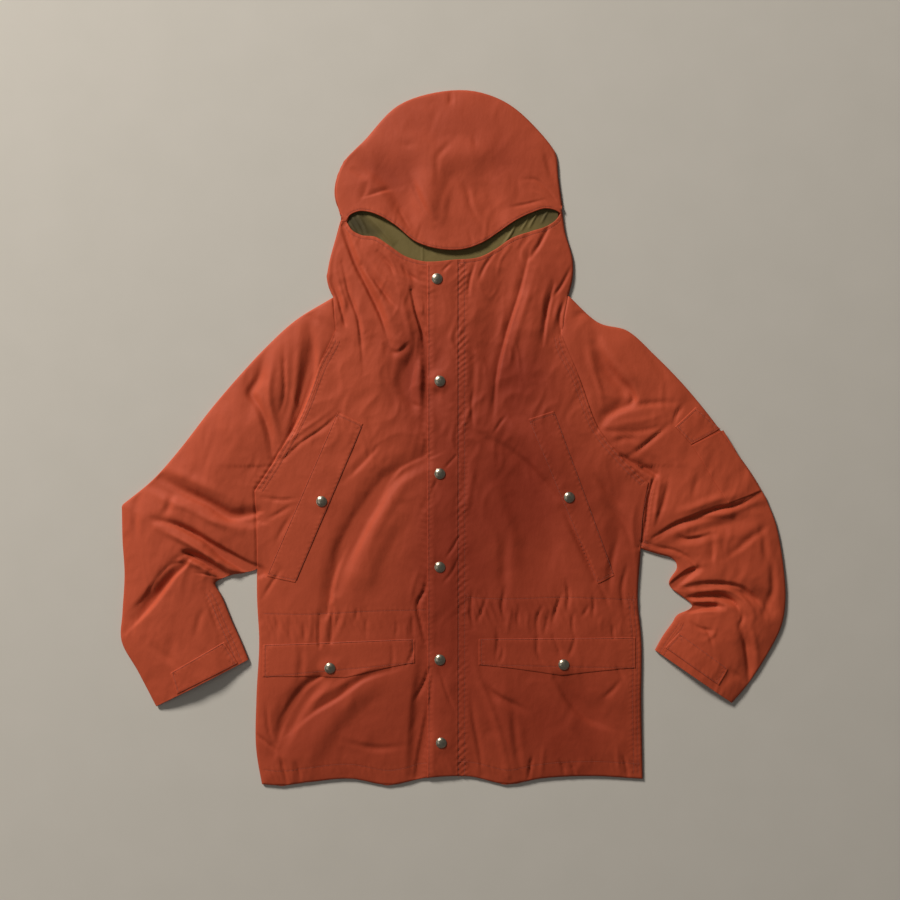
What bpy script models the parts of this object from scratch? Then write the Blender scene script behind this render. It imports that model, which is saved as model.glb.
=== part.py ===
"""Mountain parka, laid flat on its back: raglan sleeves, fixed hood, storm flap and flapped pockets.

Right and left are the wearer's, so right lies at -X. +Y runs from the hem to the top of the hood, and
+Z points away from the surface that the garment lies on. Tables are in millimetres and the finished
pieces in metres. The origin is under the middle of the whole garment.
"""

from collections import namedtuple

import bmesh
import bpy
import numpy as np
from mathutils import Vector
from mathutils.bvhtree import BVHTree

MM = 0.001

# ---------------------------------------------------------------- driving sizes, in millimetres
BACK_WALL = 2.3  # shell and lining of the body back
FRONT_WALL = 2.0  # shell and lining of the fronts, crown and sleeves
HOOD_SHELL_WALL = 1.0  # outer cloth of the hood back
LINING_WALL = 1.0
LINING_TUCK = 34.0  # how far the lining goes on under the brim and the fronts
FLAP_WALL = 1.5
SEAM_GAP = 0.3  # between a piece and the one that it lies on
RAGLAN_GAP = 1.3  # between the sleeves and the body, measured across the garment
UNDERSIDE = BACK_WALL + SEAM_GAP  # lowest underside of the upper layer
LOFT = 3.3  # how far the upper layer stands off the back, well inside its edges
ROLL = 13.0  # distance over which it rises from an outer edge
FOLD_FADE = 9.0  # folds die out this far from an outer edge
SEAT_STEP = 3.0  # over which the crown steps up from the hood back to lie on the lining
SLEEVE_EDGE = 2.2  # from a sleeve's edge to where its flat underside and its top begin
ZIP_X = -14.5  # where the two fronts meet
STORM_FLAP_X = (-39.0, 8.0)  # free edge, sewn edge
SNAP_RADIUS = 7.8
SNAP_HEIGHT = 3.2
SNAP_SIDES = 12

# ---------------------------------------------------------------- how finely the cloth is divided
FRONT_COLUMNS = 14  # from a side to the storm flap
BODY_ROWS = {"side": 20, "raglan": 10, "neck": 2, "hood": 6}
CROWN_COLUMNS, CROWN_ROWS = 26, 10
SLEEVE_RINGS = 28
FLAT_ANGLE = 0.0005  # radians between facets that count as one plane
SLEEVE_COLUMNS = BODY_ROWS["raglan"] + BODY_ROWS["neck"]  # so that they meet the body's rows

# ---------------------------------------------------------------- edges of the body, hem upwards
Edge = namedtuple("Edge", "x y")

BODY_EDGE = {
    "right": {
        "side": (
            Edge(-277, -502), Edge(-285, -455), Edge(-285, -379), Edge(-281, -292),
            Edge(-284, -234), Edge(-284, -147), Edge(-287, -76),
        ),
        "raglan": (
            Edge(-287, -76), Edge(-258, -31), Edge(-222, 34), Edge(-193, 107), Edge(-170, 157),
        ),
        "neck": (Edge(-170, 157), Edge(-172, 181), Edge(-174, 205)),
        "hood": (
            Edge(-174, 205), Edge(-183, 230), Edge(-180, 252), Edge(-170, 290), Edge(-162, 317),
        ),
    },
    "left": {
        "side": (
            Edge(275, -494), Edge(273, -379), Edge(273, -292), Edge(268, -234),
            Edge(272, -164), Edge(275, -110), Edge(283, -64),
        ),
        "raglan": (
            Edge(283, -64), Edge(249, -31), Edge(213, 12), Edge(184, 85), Edge(157, 150),
        ),
        "neck": (Edge(157, 150), Edge(162, 180), Edge(167, 208)),
        "hood": (
            Edge(167, 208), Edge(173, 230), Edge(174, 255), Edge(162, 302), Edge(158, 330),
        ),
    },
}
STRETCHES = ("side", "raglan", "neck", "hood")

HEM = (
    Edge(-277, -502), Edge(-251, -504), Edge(-210, -499), Edge(-150, -494), Edge(-91, -503),
    Edge(-41, -493), Edge(25, -491), Edge(80, -502), Edge(126, -494), Edge(200, -490),
    Edge(275, -494),
)
FACE_OPENING_BELOW = (
    Edge(-162, 317), Edge(-155, 312), Edge(-140, 298), Edge(-103, 288), Edge(-77, 266),
    Edge(-48, 257), Edge(3, 259), Edge(39, 268), Edge(68, 285), Edge(104, 299),
    Edge(141, 311), Edge(153, 320), Edge(158, 330),
)
BRIM = (
    Edge(-157, 322), Edge(-146, 328), Edge(-131, 331), Edge(-99, 317), Edge(-62, 291),
    Edge(-26, 275), Edge(17, 275), Edge(61, 292), Edge(104, 320), Edge(140, 334),
    Edge(153, 335),
)
HOOD_OUTLINE = (
    Edge(-163, 325), Edge(-171, 353), Edge(-160, 399), Edge(-128, 433), Edge(-77, 485),
    Edge(-26, 502), Edge(32, 504), Edge(75, 489), Edge(119, 452), Edge(148, 414),
    Edge(153, 375), Edge(158, 338),
)

# ---------------------------------------------------------------- sleeves, a row for each section
Section = namedtuple("Section", "inner_x inner_y outer_x outer_y")

SLEEVES = {
    "right": (
        Section(-289, -78, -174, 205), Section(-291, -97, -228, 181), Section(-290, -115, -273, 140),
        Section(-288, -136, -312, 96), Section(-288, -156, -352, 43), Section(-289, -176, -396, -11),
        Section(-302, -192, -436, -60), Section(-321, -198, -481, -96), Section(-341, -206, -480, -147),
        Section(-345, -213, -477, -198), Section(-335, -231, -480, -252), Section(-322, -263, -481, -295),
        Section(-309, -292, -457, -339), Section(-297, -321, -431, -389),
    ),
    "left": (
        Section(284, -64, 167, 208), Section(286, -75, 210, 169), Section(284, -88, 254, 156),
        Section(280, -102, 294, 120), Section(278, -119, 334, 79), Section(277, -139, 370, 36),
        Section(278, -161, 402, -7), Section(296, -167, 431, -47), Section(318, -174, 454, -85),
        Section(325, -188, 470, -128), Section(313, -210, 480, -185), Section(320, -228, 483, -234),
        Section(332, -245, 476, -275), Section(319, -263, 452, -321), Section(305, -286, 428, -357),
        Section(293, -307, 405, -384),
    ),
}
RAGLAN_SHARE = BODY_ROWS["raglan"] / SLEEVE_COLUMNS  # of a sleeve's first ring, the rest is at the neck
RAGLAN_REACH = 3.0  # sections over which the ring's curve straightens

# ---------------------------------------------------------------- folds of the upper layer
# A fold runs from a start to an end and bows to its left by `bow` in the middle. `width` is its half
# width, `rise` its height, and a valley has a rise below 0. `lean` makes one flank steeper.
Fold = namedtuple("Fold", "x0 y0 x1 y1 bow width rise lean")

CHEST_FOLDS = (
    Fold(-158, 305, -90, 118, -14, 8, -3.0, 0.0),
    Fold(-146, 292, -72, 130, -14, 13, 5.5, -0.3),
    Fold(-172, 262, -132, 92, -8, 10, 4.0, 0.2),
    Fold(-178, 226, -160, 150, 0, 8, 3.0, 0.0),
    Fold(-62, 220, -38, 118, -4, 8, -3.0, 0.0),
    Fold(-78, 250, -52, 110, -4, 11, 4.0, 0.3),
    Fold(140, 306, 57, 10, 22, 8, -3.0, 0.0),
    Fold(116, 292, 42, 30, 20, 15, 4.5, 0.3),
    Fold(160, 262, 84, 60, 16, 13, 4.5, -0.2),
    Fold(170, 245, 132, 140, 4, 9, 3.5, 0.0),
)
BODY_FOLDS = (
    Fold(-38, -24, -188, -255, 30, 14, -3.0, 0.0),
    Fold(-52, 4, -206, -205, 26, 20, 5.5, -0.3),
    Fold(-106, 2, -168, -64, 6, 12, -2.5, 0.0),
    Fold(-171, -170, -186, -318, 0, 9, 4.0, 0.3),
    Fold(54, 0, 160, -122, 8, 15, -3.0, 0.0),
    Fold(40, -24, 128, -150, 6, 22, 4.0, 0.2),
    Fold(38, -10, 16, -108, -4, 11, 3.0, 0.0),
    Fold(78, -130, 72, -240, 0, 16, 3.0, 0.0),
    Fold(-190, 26, -250, -40, 4, 10, 3.0, 0.0),
    Fold(196, 60, 150, -60, 0, 14, 2.5, 0.0),
    Fold(250, -110, 205, -250, -6, 14, 3.0, 0.0),
)
SKIRT_FOLDS = (
    Fold(-190, -352, -256, -448, 12, 9, -3.2, 0.0),
    Fold(-176, -356, -240, -440, 12, 11, 5.0, -0.3),
    Fold(-77, -336, -238, -432, 16, 10, -3.0, 0.0),
    Fold(-60, -352, -220, -446, 16, 16, 4.5, -0.2),
    Fold(-44, -366, -50, -492, 0, 9, -3.2, 0.0),
    Fold(-62, -380, -84, -500, 4, 14, 4.0, 0.0),
    Fold(22, -328, 70, -440, 6, 13, 5.0, 0.2),
    Fold(44, -344, 104, -430, 4, 10, -2.6, 0.0),
    Fold(148, -350, 236, -428, 8, 13, -3.0, 0.0),
    Fold(120, -360, 214, -450, 8, 18, 4.0, 0.0),
    Fold(118, -452, 122, -492, 0, 8, 3.0, 0.0),
    Fold(150, -456, 156, -490, 0, 8, 3.0, 0.0),
)
HOOD_FOLDS = (
    Fold(-66, 384, -28, 310, 4, 8, -3.0, 0.0),
    Fold(-52, 380, -20, 306, 4, 11, 4.5, 0.2),
    Fold(4, 380, -12, 306, -2, 8, -2.6, 0.0),
    Fold(22, 372, 12, 300, 0, 12, 3.6, 0.0),
    Fold(24, 338, 56, 296, 2, 9, -2.6, 0.0),
    Fold(-134, 352, -74, 364, 0, 9, -2.4, 0.0),
    Fold(-120, 336, -66, 330, 4, 14, 3.0, 0.0),
    Fold(70, 330, 140, 366, 4, 16, 3.0, 0.0),
    Fold(-60, 296, 50, 292, -12, 16, 3.0, 0.0),
)
SLEEVE_FOLDS = (
    Fold(-208, 176, -233, 8, -16, 10, -3.2, 0.0),
    Fold(-222, 168, -248, 12, -16, 13, 6.0, 0.3),
    Fold(-262, 138, -262, -36, 22, 9, -3.2, 0.0),
    Fold(-246, 120, -250, -10, 18, 10, 4.0, 0.0),
    Fold(-422, -44, -300, -112, -10, 12, -3.2, 0.0),
    Fold(-420, -68, -300, -146, -8, 15, 7.0, -0.4),
    Fold(-432, -116, -294, -182, -10, 8, -3.4, 0.0),
    Fold(-420, -128, -312, -192, -8, 9, 7.0, 0.0),
    Fold(-392, -160, -330, -204, -6, 8, -3.4, 0.0),
    Fold(-392, -186, -478, -258, 8, 10, 6.0, 0.3),
    Fold(-388, -198, -478, -280, 8, 8, -3.4, 0.0),
    Fold(-372, -214, -466, -306, 8, 16, 4.0, 0.0),
    Fold(-330, -240, -302, -300, 0, 9, 3.0, 0.0),
    Fold(218, 140, 262, 62, 6, 14, -3.2, 0.0),
    Fold(262, 62, 218, 18, 4, 12, -3.2, 0.0),
    Fold(204, 128, 214, 40, 0, 9, 5.0, 0.0),
    Fold(222, 36, 336, 58, -4, 10, -2.8, 0.0),
    Fold(232, 14, 330, 34, -4, 12, 4.5, 0.0),
    Fold(262, -22, 308, 24, 4, 9, -2.8, 0.0),
    Fold(296, -40, 322, -120, 6, 10, 4.0, 0.0),
    Fold(284, -142, 450, -76, 10, 8, -3.4, 0.0),
    Fold(306, -104, 446, -56, 8, 17, 6.0, 0.4),
    Fold(330, -142, 440, -112, 6, 13, 5.0, 0.0),
    Fold(392, -168, 456, -120, 4, 10, -3.0, 0.0),
    Fold(316, -208, 452, -208, 6, 8, -3.4, 0.0),
    Fold(326, -220, 436, -238, 10, 8, 7.0, 0.0),
    Fold(324, -232, 412, -230, 2, 7, -3.4, 0.0),
    Fold(340, -246, 392, -244, 2, 8, 5.0, 0.0),
    Fold(410, -268, 428, -356, 8, 9, -3.2, 0.0),
    Fold(426, -262, 444, -340, 8, 12, 5.0, 0.0),
    Fold(350, -292, 400, -330, 4, 15, 3.0, 0.0),
)
FOLDS = CHEST_FOLDS + BODY_FOLDS + SKIRT_FOLDS + HOOD_FOLDS + SLEEVE_FOLDS

# ---------------------------------------------------------------- pieces sewn on, as flat outlines
CHEST_FLAPS = {
    "right": (Edge(-167, 40), Edge(-129, 21), Edge(-228, -208), Edge(-268, -199)),
    "left": (Edge(109, 28), Edge(146, 40), Edge(234, -199), Edge(210, -210)),
}
LOWER_FLAPS = {
    "right": (Edge(-276, -297), Edge(-54, -291), Edge(-54, -325), Edge(-157, -349), Edge(-276, -347)),
    "left": (Edge(36, -287), Edge(265, -287), Edge(265, -333), Edge(160, -344), Edge(36, -328)),
}
CUFF_TABS = {
    "right": (Edge(-409, -339), Edge(-329, -297), Edge(-312, -322), Edge(-399, -367)),
    "left": (Edge(326, -281), Edge(397, -333), Edge(384, -358), Edge(307, -304)),
}
SLEEVE_POCKET_FLAP = (Edge(322, 17), Edge(352, 46), Edge(392, 14), Edge(345, -8))
SLEEVE_POCKET = (Edge(345, -10), Edge(394, 11), Edge(450, -74), Edge(397, -94))

Snap = namedtuple("Snap", "x y carrier")
SNAPS = {
    "snap_front_1": Snap(-23, 231, "storm_flap"),
    "snap_front_2": Snap(-19, 83, "storm_flap"),
    "snap_front_3": Snap(-19, -51, "storm_flap"),
    "snap_front_4": Snap(-19, -186, "storm_flap"),
    "snap_front_5": Snap(-19, -320, "storm_flap"),
    "snap_front_6": Snap(-17, -440, "storm_flap"),
    "snap_chest_right": Snap(-190, -91, "chest_flap_right"),
    "snap_chest_left": Snap(168, -85, "chest_flap_left"),
    "snap_lower_right": Snap(-178, -332, "lower_flap_right"),
    "snap_lower_left": Snap(160, -327, "lower_flap_left"),
}

# ---------------------------------------------------------------- finishes: colour, roughness, metallic
FINISHES = {
    "shell": ((0.39, 0.066, 0.028, 1.0), 0.72, 0.0),
    "lining": ((0.095, 0.075, 0.024, 1.0), 0.75, 0.0),
    "snap": ((0.42, 0.39, 0.34, 1.0), 0.35, 1.0),
}


# ---------------------------------------------------------------- curves
def along(points, share):
    """Points of a smooth curve through `points`, at shares of its length from 0 to 1."""
    knots = np.array(points, float)
    steps = np.linalg.norm(np.diff(knots, axis=0), axis=1)
    at = np.concatenate([[0.0], np.cumsum(steps)])
    where = np.clip(np.asarray(share, float), 0.0, 1.0) * at[-1]
    return np.stack([smooth_through(at, knots[:, axis], where) for axis in range(2)], axis=-1)


def smooth_through(at, values, where):
    """Cubic Hermite interpolation, with the slope at each knot from its neighbours."""
    at = np.asarray(at, float)
    values = np.asarray(values, float)
    slope = np.gradient(values, at)
    index = np.clip(np.searchsorted(at, where, side="right") - 1, 0, len(at) - 2)
    span = at[index + 1] - at[index]
    t = (where - at[index]) / span
    start = (2 * t**3 - 3 * t**2 + 1) * values[index] + (t**3 - 2 * t**2 + t) * span * slope[index]
    end = (3 * t**2 - 2 * t**3) * values[index + 1] + (t**3 - t**2) * span * slope[index + 1]
    return start + end


def height_of_edge(points, x):
    """How far up the garment an edge that runs across it lies at `x`."""
    across = np.array(points, float)
    return smooth_through(across[:, 0], across[:, 1], np.clip(x, across[0, 0], across[-1, 0]))


def sleeve_section(side, place):
    """Inner and outer point of a sleeve at `place`, counted in sections from the raglan seam."""
    table = np.array(SLEEVES[side], float)
    count = np.arange(len(table))
    values = [smooth_through(count, table[:, column], place) for column in range(4)]
    return np.stack(values[:2], axis=-1), np.stack(values[2:], axis=-1)


def raglan_curve(side, share):
    """The seam between body and sleeve, from the underarm to the shoulder, on the sleeve's side."""
    share = np.asarray(share, float)
    raglan = along(BODY_EDGE[side]["raglan"], share / RAGLAN_SHARE)
    neck = along(BODY_EDGE[side]["neck"], (share - RAGLAN_SHARE) / (1 - RAGLAN_SHARE))
    seam = np.where((share <= RAGLAN_SHARE)[..., None], raglan, neck)
    outwards = -1.0 if side == "right" else 1.0
    return seam + RAGLAN_GAP * np.array([outwards, 0.6])


# ---------------------------------------------------------------- height of the upper layer
def outer_edges():
    """The garment's outer edges as polylines, where the upper layer comes down to the surface."""
    lines = [along(HOOD_OUTLINE, np.linspace(0, 1, 60))]
    for side in ("right", "left"):
        lines.append(along(BODY_EDGE[side]["side"], np.linspace(0, 1, 30)))
        lines.append(along(BODY_EDGE[side]["hood"], np.linspace(0, 1, 16)))
        inner, outer = sleeve_section(side, np.linspace(0, len(SLEEVES[side]) - 1, 70))
        lines += [inner, outer]
    return lines


OUTER_EDGES = outer_edges()


def edge_distance(x, y):
    """Distance of each point to the nearest outer edge, seen from above."""
    point = np.stack([np.ravel(x), np.ravel(y)], axis=-1)
    nearest = np.full(len(point), 1e9)
    for line in OUTER_EDGES:
        for start, end in zip(line[:-1], line[1:]):
            run = end - start
            t = np.clip((point - start) @ run / (run @ run), 0.0, 1.0)
            away = point - start - t[:, None] * run
            nearest = np.minimum(nearest, np.einsum("ij,ij->i", away, away))
    return np.sqrt(nearest).reshape(np.shape(x))


def fold_height(fold, x, y):
    """A ridge or a valley along its bowed line, dying out at both ends."""
    run = np.array([fold.x1 - fold.x0, fold.y1 - fold.y0], float)
    length = np.hypot(*run)
    run /= length
    along_it = ((x - fold.x0) * run[0] + (y - fold.y0) * run[1]) / length
    off_it = (x - fold.x0) * -run[1] + (y - fold.y0) * run[0]
    t = np.clip(along_it, 0.0, 1.0)
    off_it = off_it - fold.bow * 4 * t * (1 - t)
    width = fold.width * (1 + fold.lean * np.sign(off_it))
    return fold.rise * np.sin(np.pi * t) ** 0.7 * np.exp(-((off_it / width) ** 2))


def underside(x, y, edge_seat=UNDERSIDE):
    """Height of the underside of the upper layer, which comes down to `edge_seat` at the outer edges."""
    x = np.asarray(x, float)
    y = np.asarray(y, float)
    distance = edge_distance(x, y)
    relief = sum(fold_height(fold, x, y) for fold in FOLDS)
    floor = edge_seat + (UNDERSIDE - edge_seat) * (1 - np.exp(-distance / SEAT_STEP))
    loft = LOFT * (1 - np.exp(-distance / ROLL))
    inside = 1 - np.exp(-distance / FOLD_FADE)
    return np.maximum(floor + loft + relief * inside, floor)


# ---------------------------------------------------------------- cloth from grids of points
def grid_sheet(plan, height):
    """An open sheet of triangles from rows of plan points and their heights."""
    rows, columns = height.shape
    sheet = bmesh.new()
    bmesh.ops.create_grid(sheet, x_segments=columns - 1, y_segments=rows - 1, size=1.0)
    sheet.verts.ensure_lookup_table()
    places = np.concatenate([plan, height[..., None]], axis=-1).reshape(-1, 3) * MM
    for vert, place in zip(sheet.verts, places):
        vert.co = place
    bmesh.ops.triangulate(sheet, faces=sheet.faces[:], quad_method="FIXED")
    bmesh.ops.recalc_face_normals(sheet, faces=sheet.faces[:])
    return sheet


def flat_panel(outline, level, wall):
    """A flat piece of cloth from its outline in plan, `level` above the surface."""
    panel = bmesh.new()
    verts = [panel.verts.new((point[0] * MM, point[1] * MM, level * MM)) for point in outline]
    edges = [panel.edges.new(ends) for ends in zip(verts, verts[1:] + verts[:1])]
    bmesh.ops.contextual_create(panel, geom=edges)
    bmesh.ops.triangulate(panel, faces=panel.faces[:])
    return thicken(panel, wall)


def merge_flat_facets(solid):
    """Joins facets that lie in one plane, then splits what is left into triangles again."""
    bmesh.ops.dissolve_limit(
        solid, angle_limit=FLAT_ANGLE, verts=solid.verts[:], edges=solid.edges[:]
    )
    bmesh.ops.triangulate(solid, faces=solid.faces[:])
    bmesh.ops.recalc_face_normals(solid, faces=solid.faces[:])
    return solid


def thicken(sheet, wall):
    """Closes a sheet into a wall that stands `wall` above it."""
    made = bmesh.ops.extrude_face_region(sheet, geom=sheet.faces[:], use_keep_orig=True)
    top = [item for item in made["geom"] if isinstance(item, bmesh.types.BMVert)]
    bmesh.ops.translate(sheet, verts=top, vec=(0, 0, wall * MM))
    bmesh.ops.recalc_face_normals(sheet, faces=sheet.faces[:])
    return sheet


def keep_inside(sheet, outline):
    """Cuts a sheet down to a convex outline, given clockwise or anticlockwise."""
    corners = [Vector((point[0] * MM, point[1] * MM, 0)) for point in outline]
    middle = sum(corners, Vector()) / len(corners)
    for start, end in zip(corners, corners[1:] + corners[:1]):
        outwards = (end - start).cross(Vector((0, 0, 1)))
        if outwards.dot(middle - start) > 0:
            outwards.negate()
        bmesh.ops.bisect_plane(
            sheet,
            geom=sheet.verts[:] + sheet.edges[:] + sheet.faces[:],
            dist=1e-7,
            plane_co=start,
            plane_no=outwards,
            clear_outer=True,
        )
    bmesh.ops.triangulate(sheet, faces=sheet.faces[:])
    return sheet


def lifted(sheet, lift):
    bmesh.ops.translate(sheet, verts=sheet.verts[:], vec=(0, 0, lift * MM))
    return sheet


def laid_on(sheet, outline, lift):
    """A flap cut from a sheet's own facets, `lift` above it."""
    return thicken(lifted(keep_inside(sheet.copy(), outline), lift), FLAP_WALL)


# ---------------------------------------------------------------- plans of the panels
def body_plan():
    """Plan points of the whole front, a row at each height from the hem to the face opening."""
    rows = []
    for stretch in STRETCHES:
        count = BODY_ROWS[stretch]
        for step in range(count + (stretch == STRETCHES[-1])):
            share = step / count
            right = along(BODY_EDGE["right"][stretch], share)
            left = along(BODY_EDGE["left"][stretch], share)
            x = column_places(right[0], left[0])
            u = (x - right[0]) / (left[0] - right[0])
            y = right[1] + u * (left[1] - right[1])
            first_right, first_left = BODY_EDGE["right"][stretch][0], BODY_EDGE["left"][stretch][0]
            start = first_right.y + u * (first_left.y - first_right.y)
            if stretch == "side":
                y += (height_of_edge(HEM, x) - start) * (1 - share) ** 2
            if stretch == "hood":
                y = start + share * (height_of_edge(FACE_OPENING_BELOW, x) - start)
            rows.append(np.stack([x, y], axis=-1))
    return np.array(rows)


def column_places(right_x, left_x):
    """Places across the body, with columns on the storm flap's edges and on either side of the zip."""
    free, sewn = STORM_FLAP_X
    beside_zip = ZIP_X - SEAM_GAP / 2, ZIP_X + SEAM_GAP / 2
    right = np.linspace(right_x, free, FRONT_COLUMNS + 1)
    left = np.linspace(sewn, left_x, FRONT_COLUMNS + 1)
    under_flap = [(free + ZIP_X) / 2, *beside_zip, (sewn + ZIP_X) / 2]
    return np.concatenate([right, under_flap, left])


FREE_EDGE_COLUMN = FRONT_COLUMNS
ZIP_COLUMNS = FRONT_COLUMNS + 2, FRONT_COLUMNS + 3
SEWN_EDGE_COLUMN = FRONT_COLUMNS + 5


def body_sheet(first=0, last=None):
    """The underside of the fronts, or of the columns of them from `first` to `last`."""
    plan = body_plan()[:, first : None if last is None else last + 1]
    return grid_sheet(plan, underside(plan[..., 0], plan[..., 1]))


def storm_flap_sheet():
    """The fronts' own points under the storm flap, without the gap at the zip."""
    columns = [c for c in range(FREE_EDGE_COLUMN, SEWN_EDGE_COLUMN + 1) if c != ZIP_COLUMNS[1]]
    plan = body_plan()[:, columns]
    return grid_sheet(plan, underside(plan[..., 0], plan[..., 1]))


def around(plan):
    """The outline of a grid of plan points."""
    return [*plan[0], *plan[1:, -1], *plan[-1, -2::-1], *plan[-2:0:-1, 0]]


def back_outline():
    """The body back, on the same edges as the fronts up to the neck."""
    rows = sum(BODY_ROWS[stretch] for stretch in STRETCHES[:3]) + 1
    return around(body_plan()[:rows])


def between(below, above, columns, rows):
    """Plan points between two edges that run the same way."""
    u = np.linspace(0, 1, columns + 1)
    v = np.linspace(0, 1, rows + 1)[:, None, None]
    return (1 - v) * along(below, u) + v * along(above, u)


def crown_sheet():
    """The front of the hood, whose outer edge rests on the hood back beside the lining."""
    plan = between(BRIM, HOOD_OUTLINE, CROWN_COLUMNS, CROWN_ROWS)
    return grid_sheet(plan, underside(plan[..., 0], plan[..., 1], HOOD_SHELL_WALL + SEAM_GAP))


def hood_back_outline():
    """The hood from the neck up, flat on the surface."""
    shares = np.linspace(0, 1, BODY_ROWS["hood"] + 1)
    right = along(BODY_EDGE["right"]["hood"], shares)
    left = along(BODY_EDGE["left"]["hood"], shares)
    right[0, 1] = left[0, 1] = max(right[0, 1], left[0, 1]) + SEAM_GAP
    over = along(HOOD_OUTLINE, np.linspace(0, 1, CROWN_COLUMNS + 1))
    return [*right, *over, *left[::-1]]


def lining_outline():
    """The lining round the face opening, tucked under the brim and under the fronts."""
    shares = np.linspace(0, 1, CROWN_COLUMNS // 2 + 1)
    below = along(FACE_OPENING_BELOW, shares) * (0.95, 1) - (0, LINING_TUCK)
    above = along(BRIM, shares) * (0.95, 1) + (0, LINING_TUCK)
    return [*below, *above[::-1]]


# ---------------------------------------------------------------- sleeves
def sleeve_plan(side, shares, inset=0.0):
    """Plan points across a sleeve, a row for each ring from the raglan seam to the cuff."""
    last = len(SLEEVES[side]) - 1
    places = np.linspace(0, last, SLEEVE_RINGS)
    rows = []
    for place in places:
        inner, outer = sleeve_section(side, place)
        width = np.linalg.norm(outer - inner)
        share = np.clip(shares, inset / width, 1 - inset / width)
        row = inner + share[:, None] * (outer - inner)
        pull = max(0.0, 1 - place / RAGLAN_REACH) ** 3
        first_inner, first_outer = sleeve_section(side, 0.0)
        straight = first_inner + share[:, None] * (first_outer - first_inner)
        rows.append(row + pull * (raglan_curve(side, share) - straight))
    return np.array(rows)


def sleeve_top_plan(side, inset):
    return sleeve_plan(side, np.linspace(0, 1, SLEEVE_COLUMNS + 1), inset)


def sleeve_skin(side, wall):
    """Rings of one skin of a sleeve's tube: the outer one at wall 0, the inner one set in by the wall."""
    top_plan = sleeve_top_plan(side, SLEEVE_EDGE + wall)
    top = underside(top_plan[..., 0], top_plan[..., 1]) + FRONT_WALL - wall
    bottom_plan = top_plan[:, ::-1]
    bottom = np.full(bottom_plan.shape[:2], float(wall))
    outer_plan = sleeve_plan(side, np.array([1.0]), wall)
    inner_plan = sleeve_plan(side, np.array([0.0]), wall)
    edge = np.full(outer_plan.shape[:2], (UNDERSIDE + FRONT_WALL) / 2)
    plan = np.concatenate([top_plan, outer_plan, bottom_plan, inner_plan, top_plan[:, :1]], axis=1)
    height = np.concatenate([top, edge, bottom, edge, top[:, :1]], axis=1)
    return plan, height


def sleeve_top_sheet(side):
    """The outside of a sleeve's upper half, with the tube's own facets, for what lies on it."""
    plan = sleeve_top_plan(side, SLEEVE_EDGE)
    return grid_sheet(plan, underside(plan[..., 0], plan[..., 1]) + FRONT_WALL)


def sleeve_tube(side):
    """The outer skin from seam to cuff and the inner one back again, closed into one wall."""
    outer_plan, outer_height = sleeve_skin(side, 0.0)
    inner_plan, inner_height = sleeve_skin(side, FRONT_WALL)
    plan = np.concatenate([outer_plan, inner_plan[::-1], outer_plan[:1]])
    height = np.concatenate([outer_height, inner_height[::-1], outer_height[:1]])
    tube = grid_sheet(plan, height)
    bmesh.ops.remove_doubles(tube, verts=tube.verts[:], dist=1e-6)
    bmesh.ops.recalc_face_normals(tube, faces=tube.faces[:])
    return merge_flat_facets(tube)


# ---------------------------------------------------------------- snaps
def snap_cap():
    """A domed cap with a rolled edge, turned from its profile."""
    profile = bmesh.new()
    heights = (
        (0.0, 1.0), (0.5, 0.91), (0.86, 0.6), (1.0, 0.2), (0.94, 0.0), (0.0, 0.0),
    )
    verts = [profile.verts.new((r * SNAP_RADIUS * MM, 0, z * SNAP_HEIGHT * MM)) for r, z in heights]
    for start, end in zip(verts[:-1], verts[1:]):
        profile.edges.new((start, end))
    bmesh.ops.spin(
        profile,
        geom=profile.verts[:] + profile.edges[:],
        axis=(0, 0, 1),
        cent=(0, 0, 0),
        angle=2 * np.pi,
        steps=SNAP_SIDES,
        use_merge=True,
    )
    bmesh.ops.remove_doubles(profile, verts=profile.verts[:], dist=1e-6)
    bmesh.ops.recalc_face_normals(profile, faces=profile.faces[:])
    return profile


def snap_seat(snap, carrier):
    """Where a snap sits on its flap: on the flap's plane there, clear of its folds."""
    tree = BVHTree.FromBMesh(carrier)
    down = Vector((0, 0, -1))
    ring = [(np.cos(a), np.sin(a)) for a in np.linspace(0, 2 * np.pi, 12, endpoint=False)]
    hits = []
    for share in (0.5, 1.0):
        for across, up in ring:
            x = (snap.x + share * SNAP_RADIUS * across) * MM
            y = (snap.y + share * SNAP_RADIUS * up) * MM
            hit = tree.ray_cast(Vector((x, y, 1.0)), down)
            if hit[0] is not None:
                hits.append(hit[0])
    middle = Vector((snap.x * MM, snap.y * MM, 0))
    rows = np.array([[p.x - middle.x, p.y - middle.y, 1.0] for p in hits])
    heights = np.array([p.z for p in hits])
    slope_x, slope_y, centre = np.linalg.lstsq(rows, heights, rcond=None)[0]
    over = (heights - rows @ np.array([slope_x, slope_y, centre])).max()
    normal = Vector((-slope_x, -slope_y, 1.0)).normalized()
    middle.z = centre + over
    return middle + normal * SEAM_GAP * MM, normal


# ---------------------------------------------------------------- objects
def add_piece(name, mesh_of_it, finish, collection):
    """Turns a finished mesh into a named object with its own material."""
    mesh = bpy.data.meshes.new(name)
    mesh_of_it.to_mesh(mesh)
    mesh.shade_smooth()
    mesh.set_sharp_from_angle(angle=np.radians(40))
    material = bpy.data.materials.new(name)
    material.use_nodes = True
    shader = material.node_tree.nodes["Principled BSDF"]
    colour, roughness, metallic = FINISHES[finish]
    shader.inputs["Base Color"].default_value = colour
    shader.inputs["Roughness"].default_value = roughness
    shader.inputs["Metallic"].default_value = metallic
    material.diffuse_color = colour
    mesh.materials.append(material)
    piece = bpy.data.objects.new(name, mesh)
    collection.objects.link(piece)
    return piece


def clear_scene():
    for item in list(bpy.data.objects):
        bpy.data.objects.remove(item, do_unlink=True)


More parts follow.
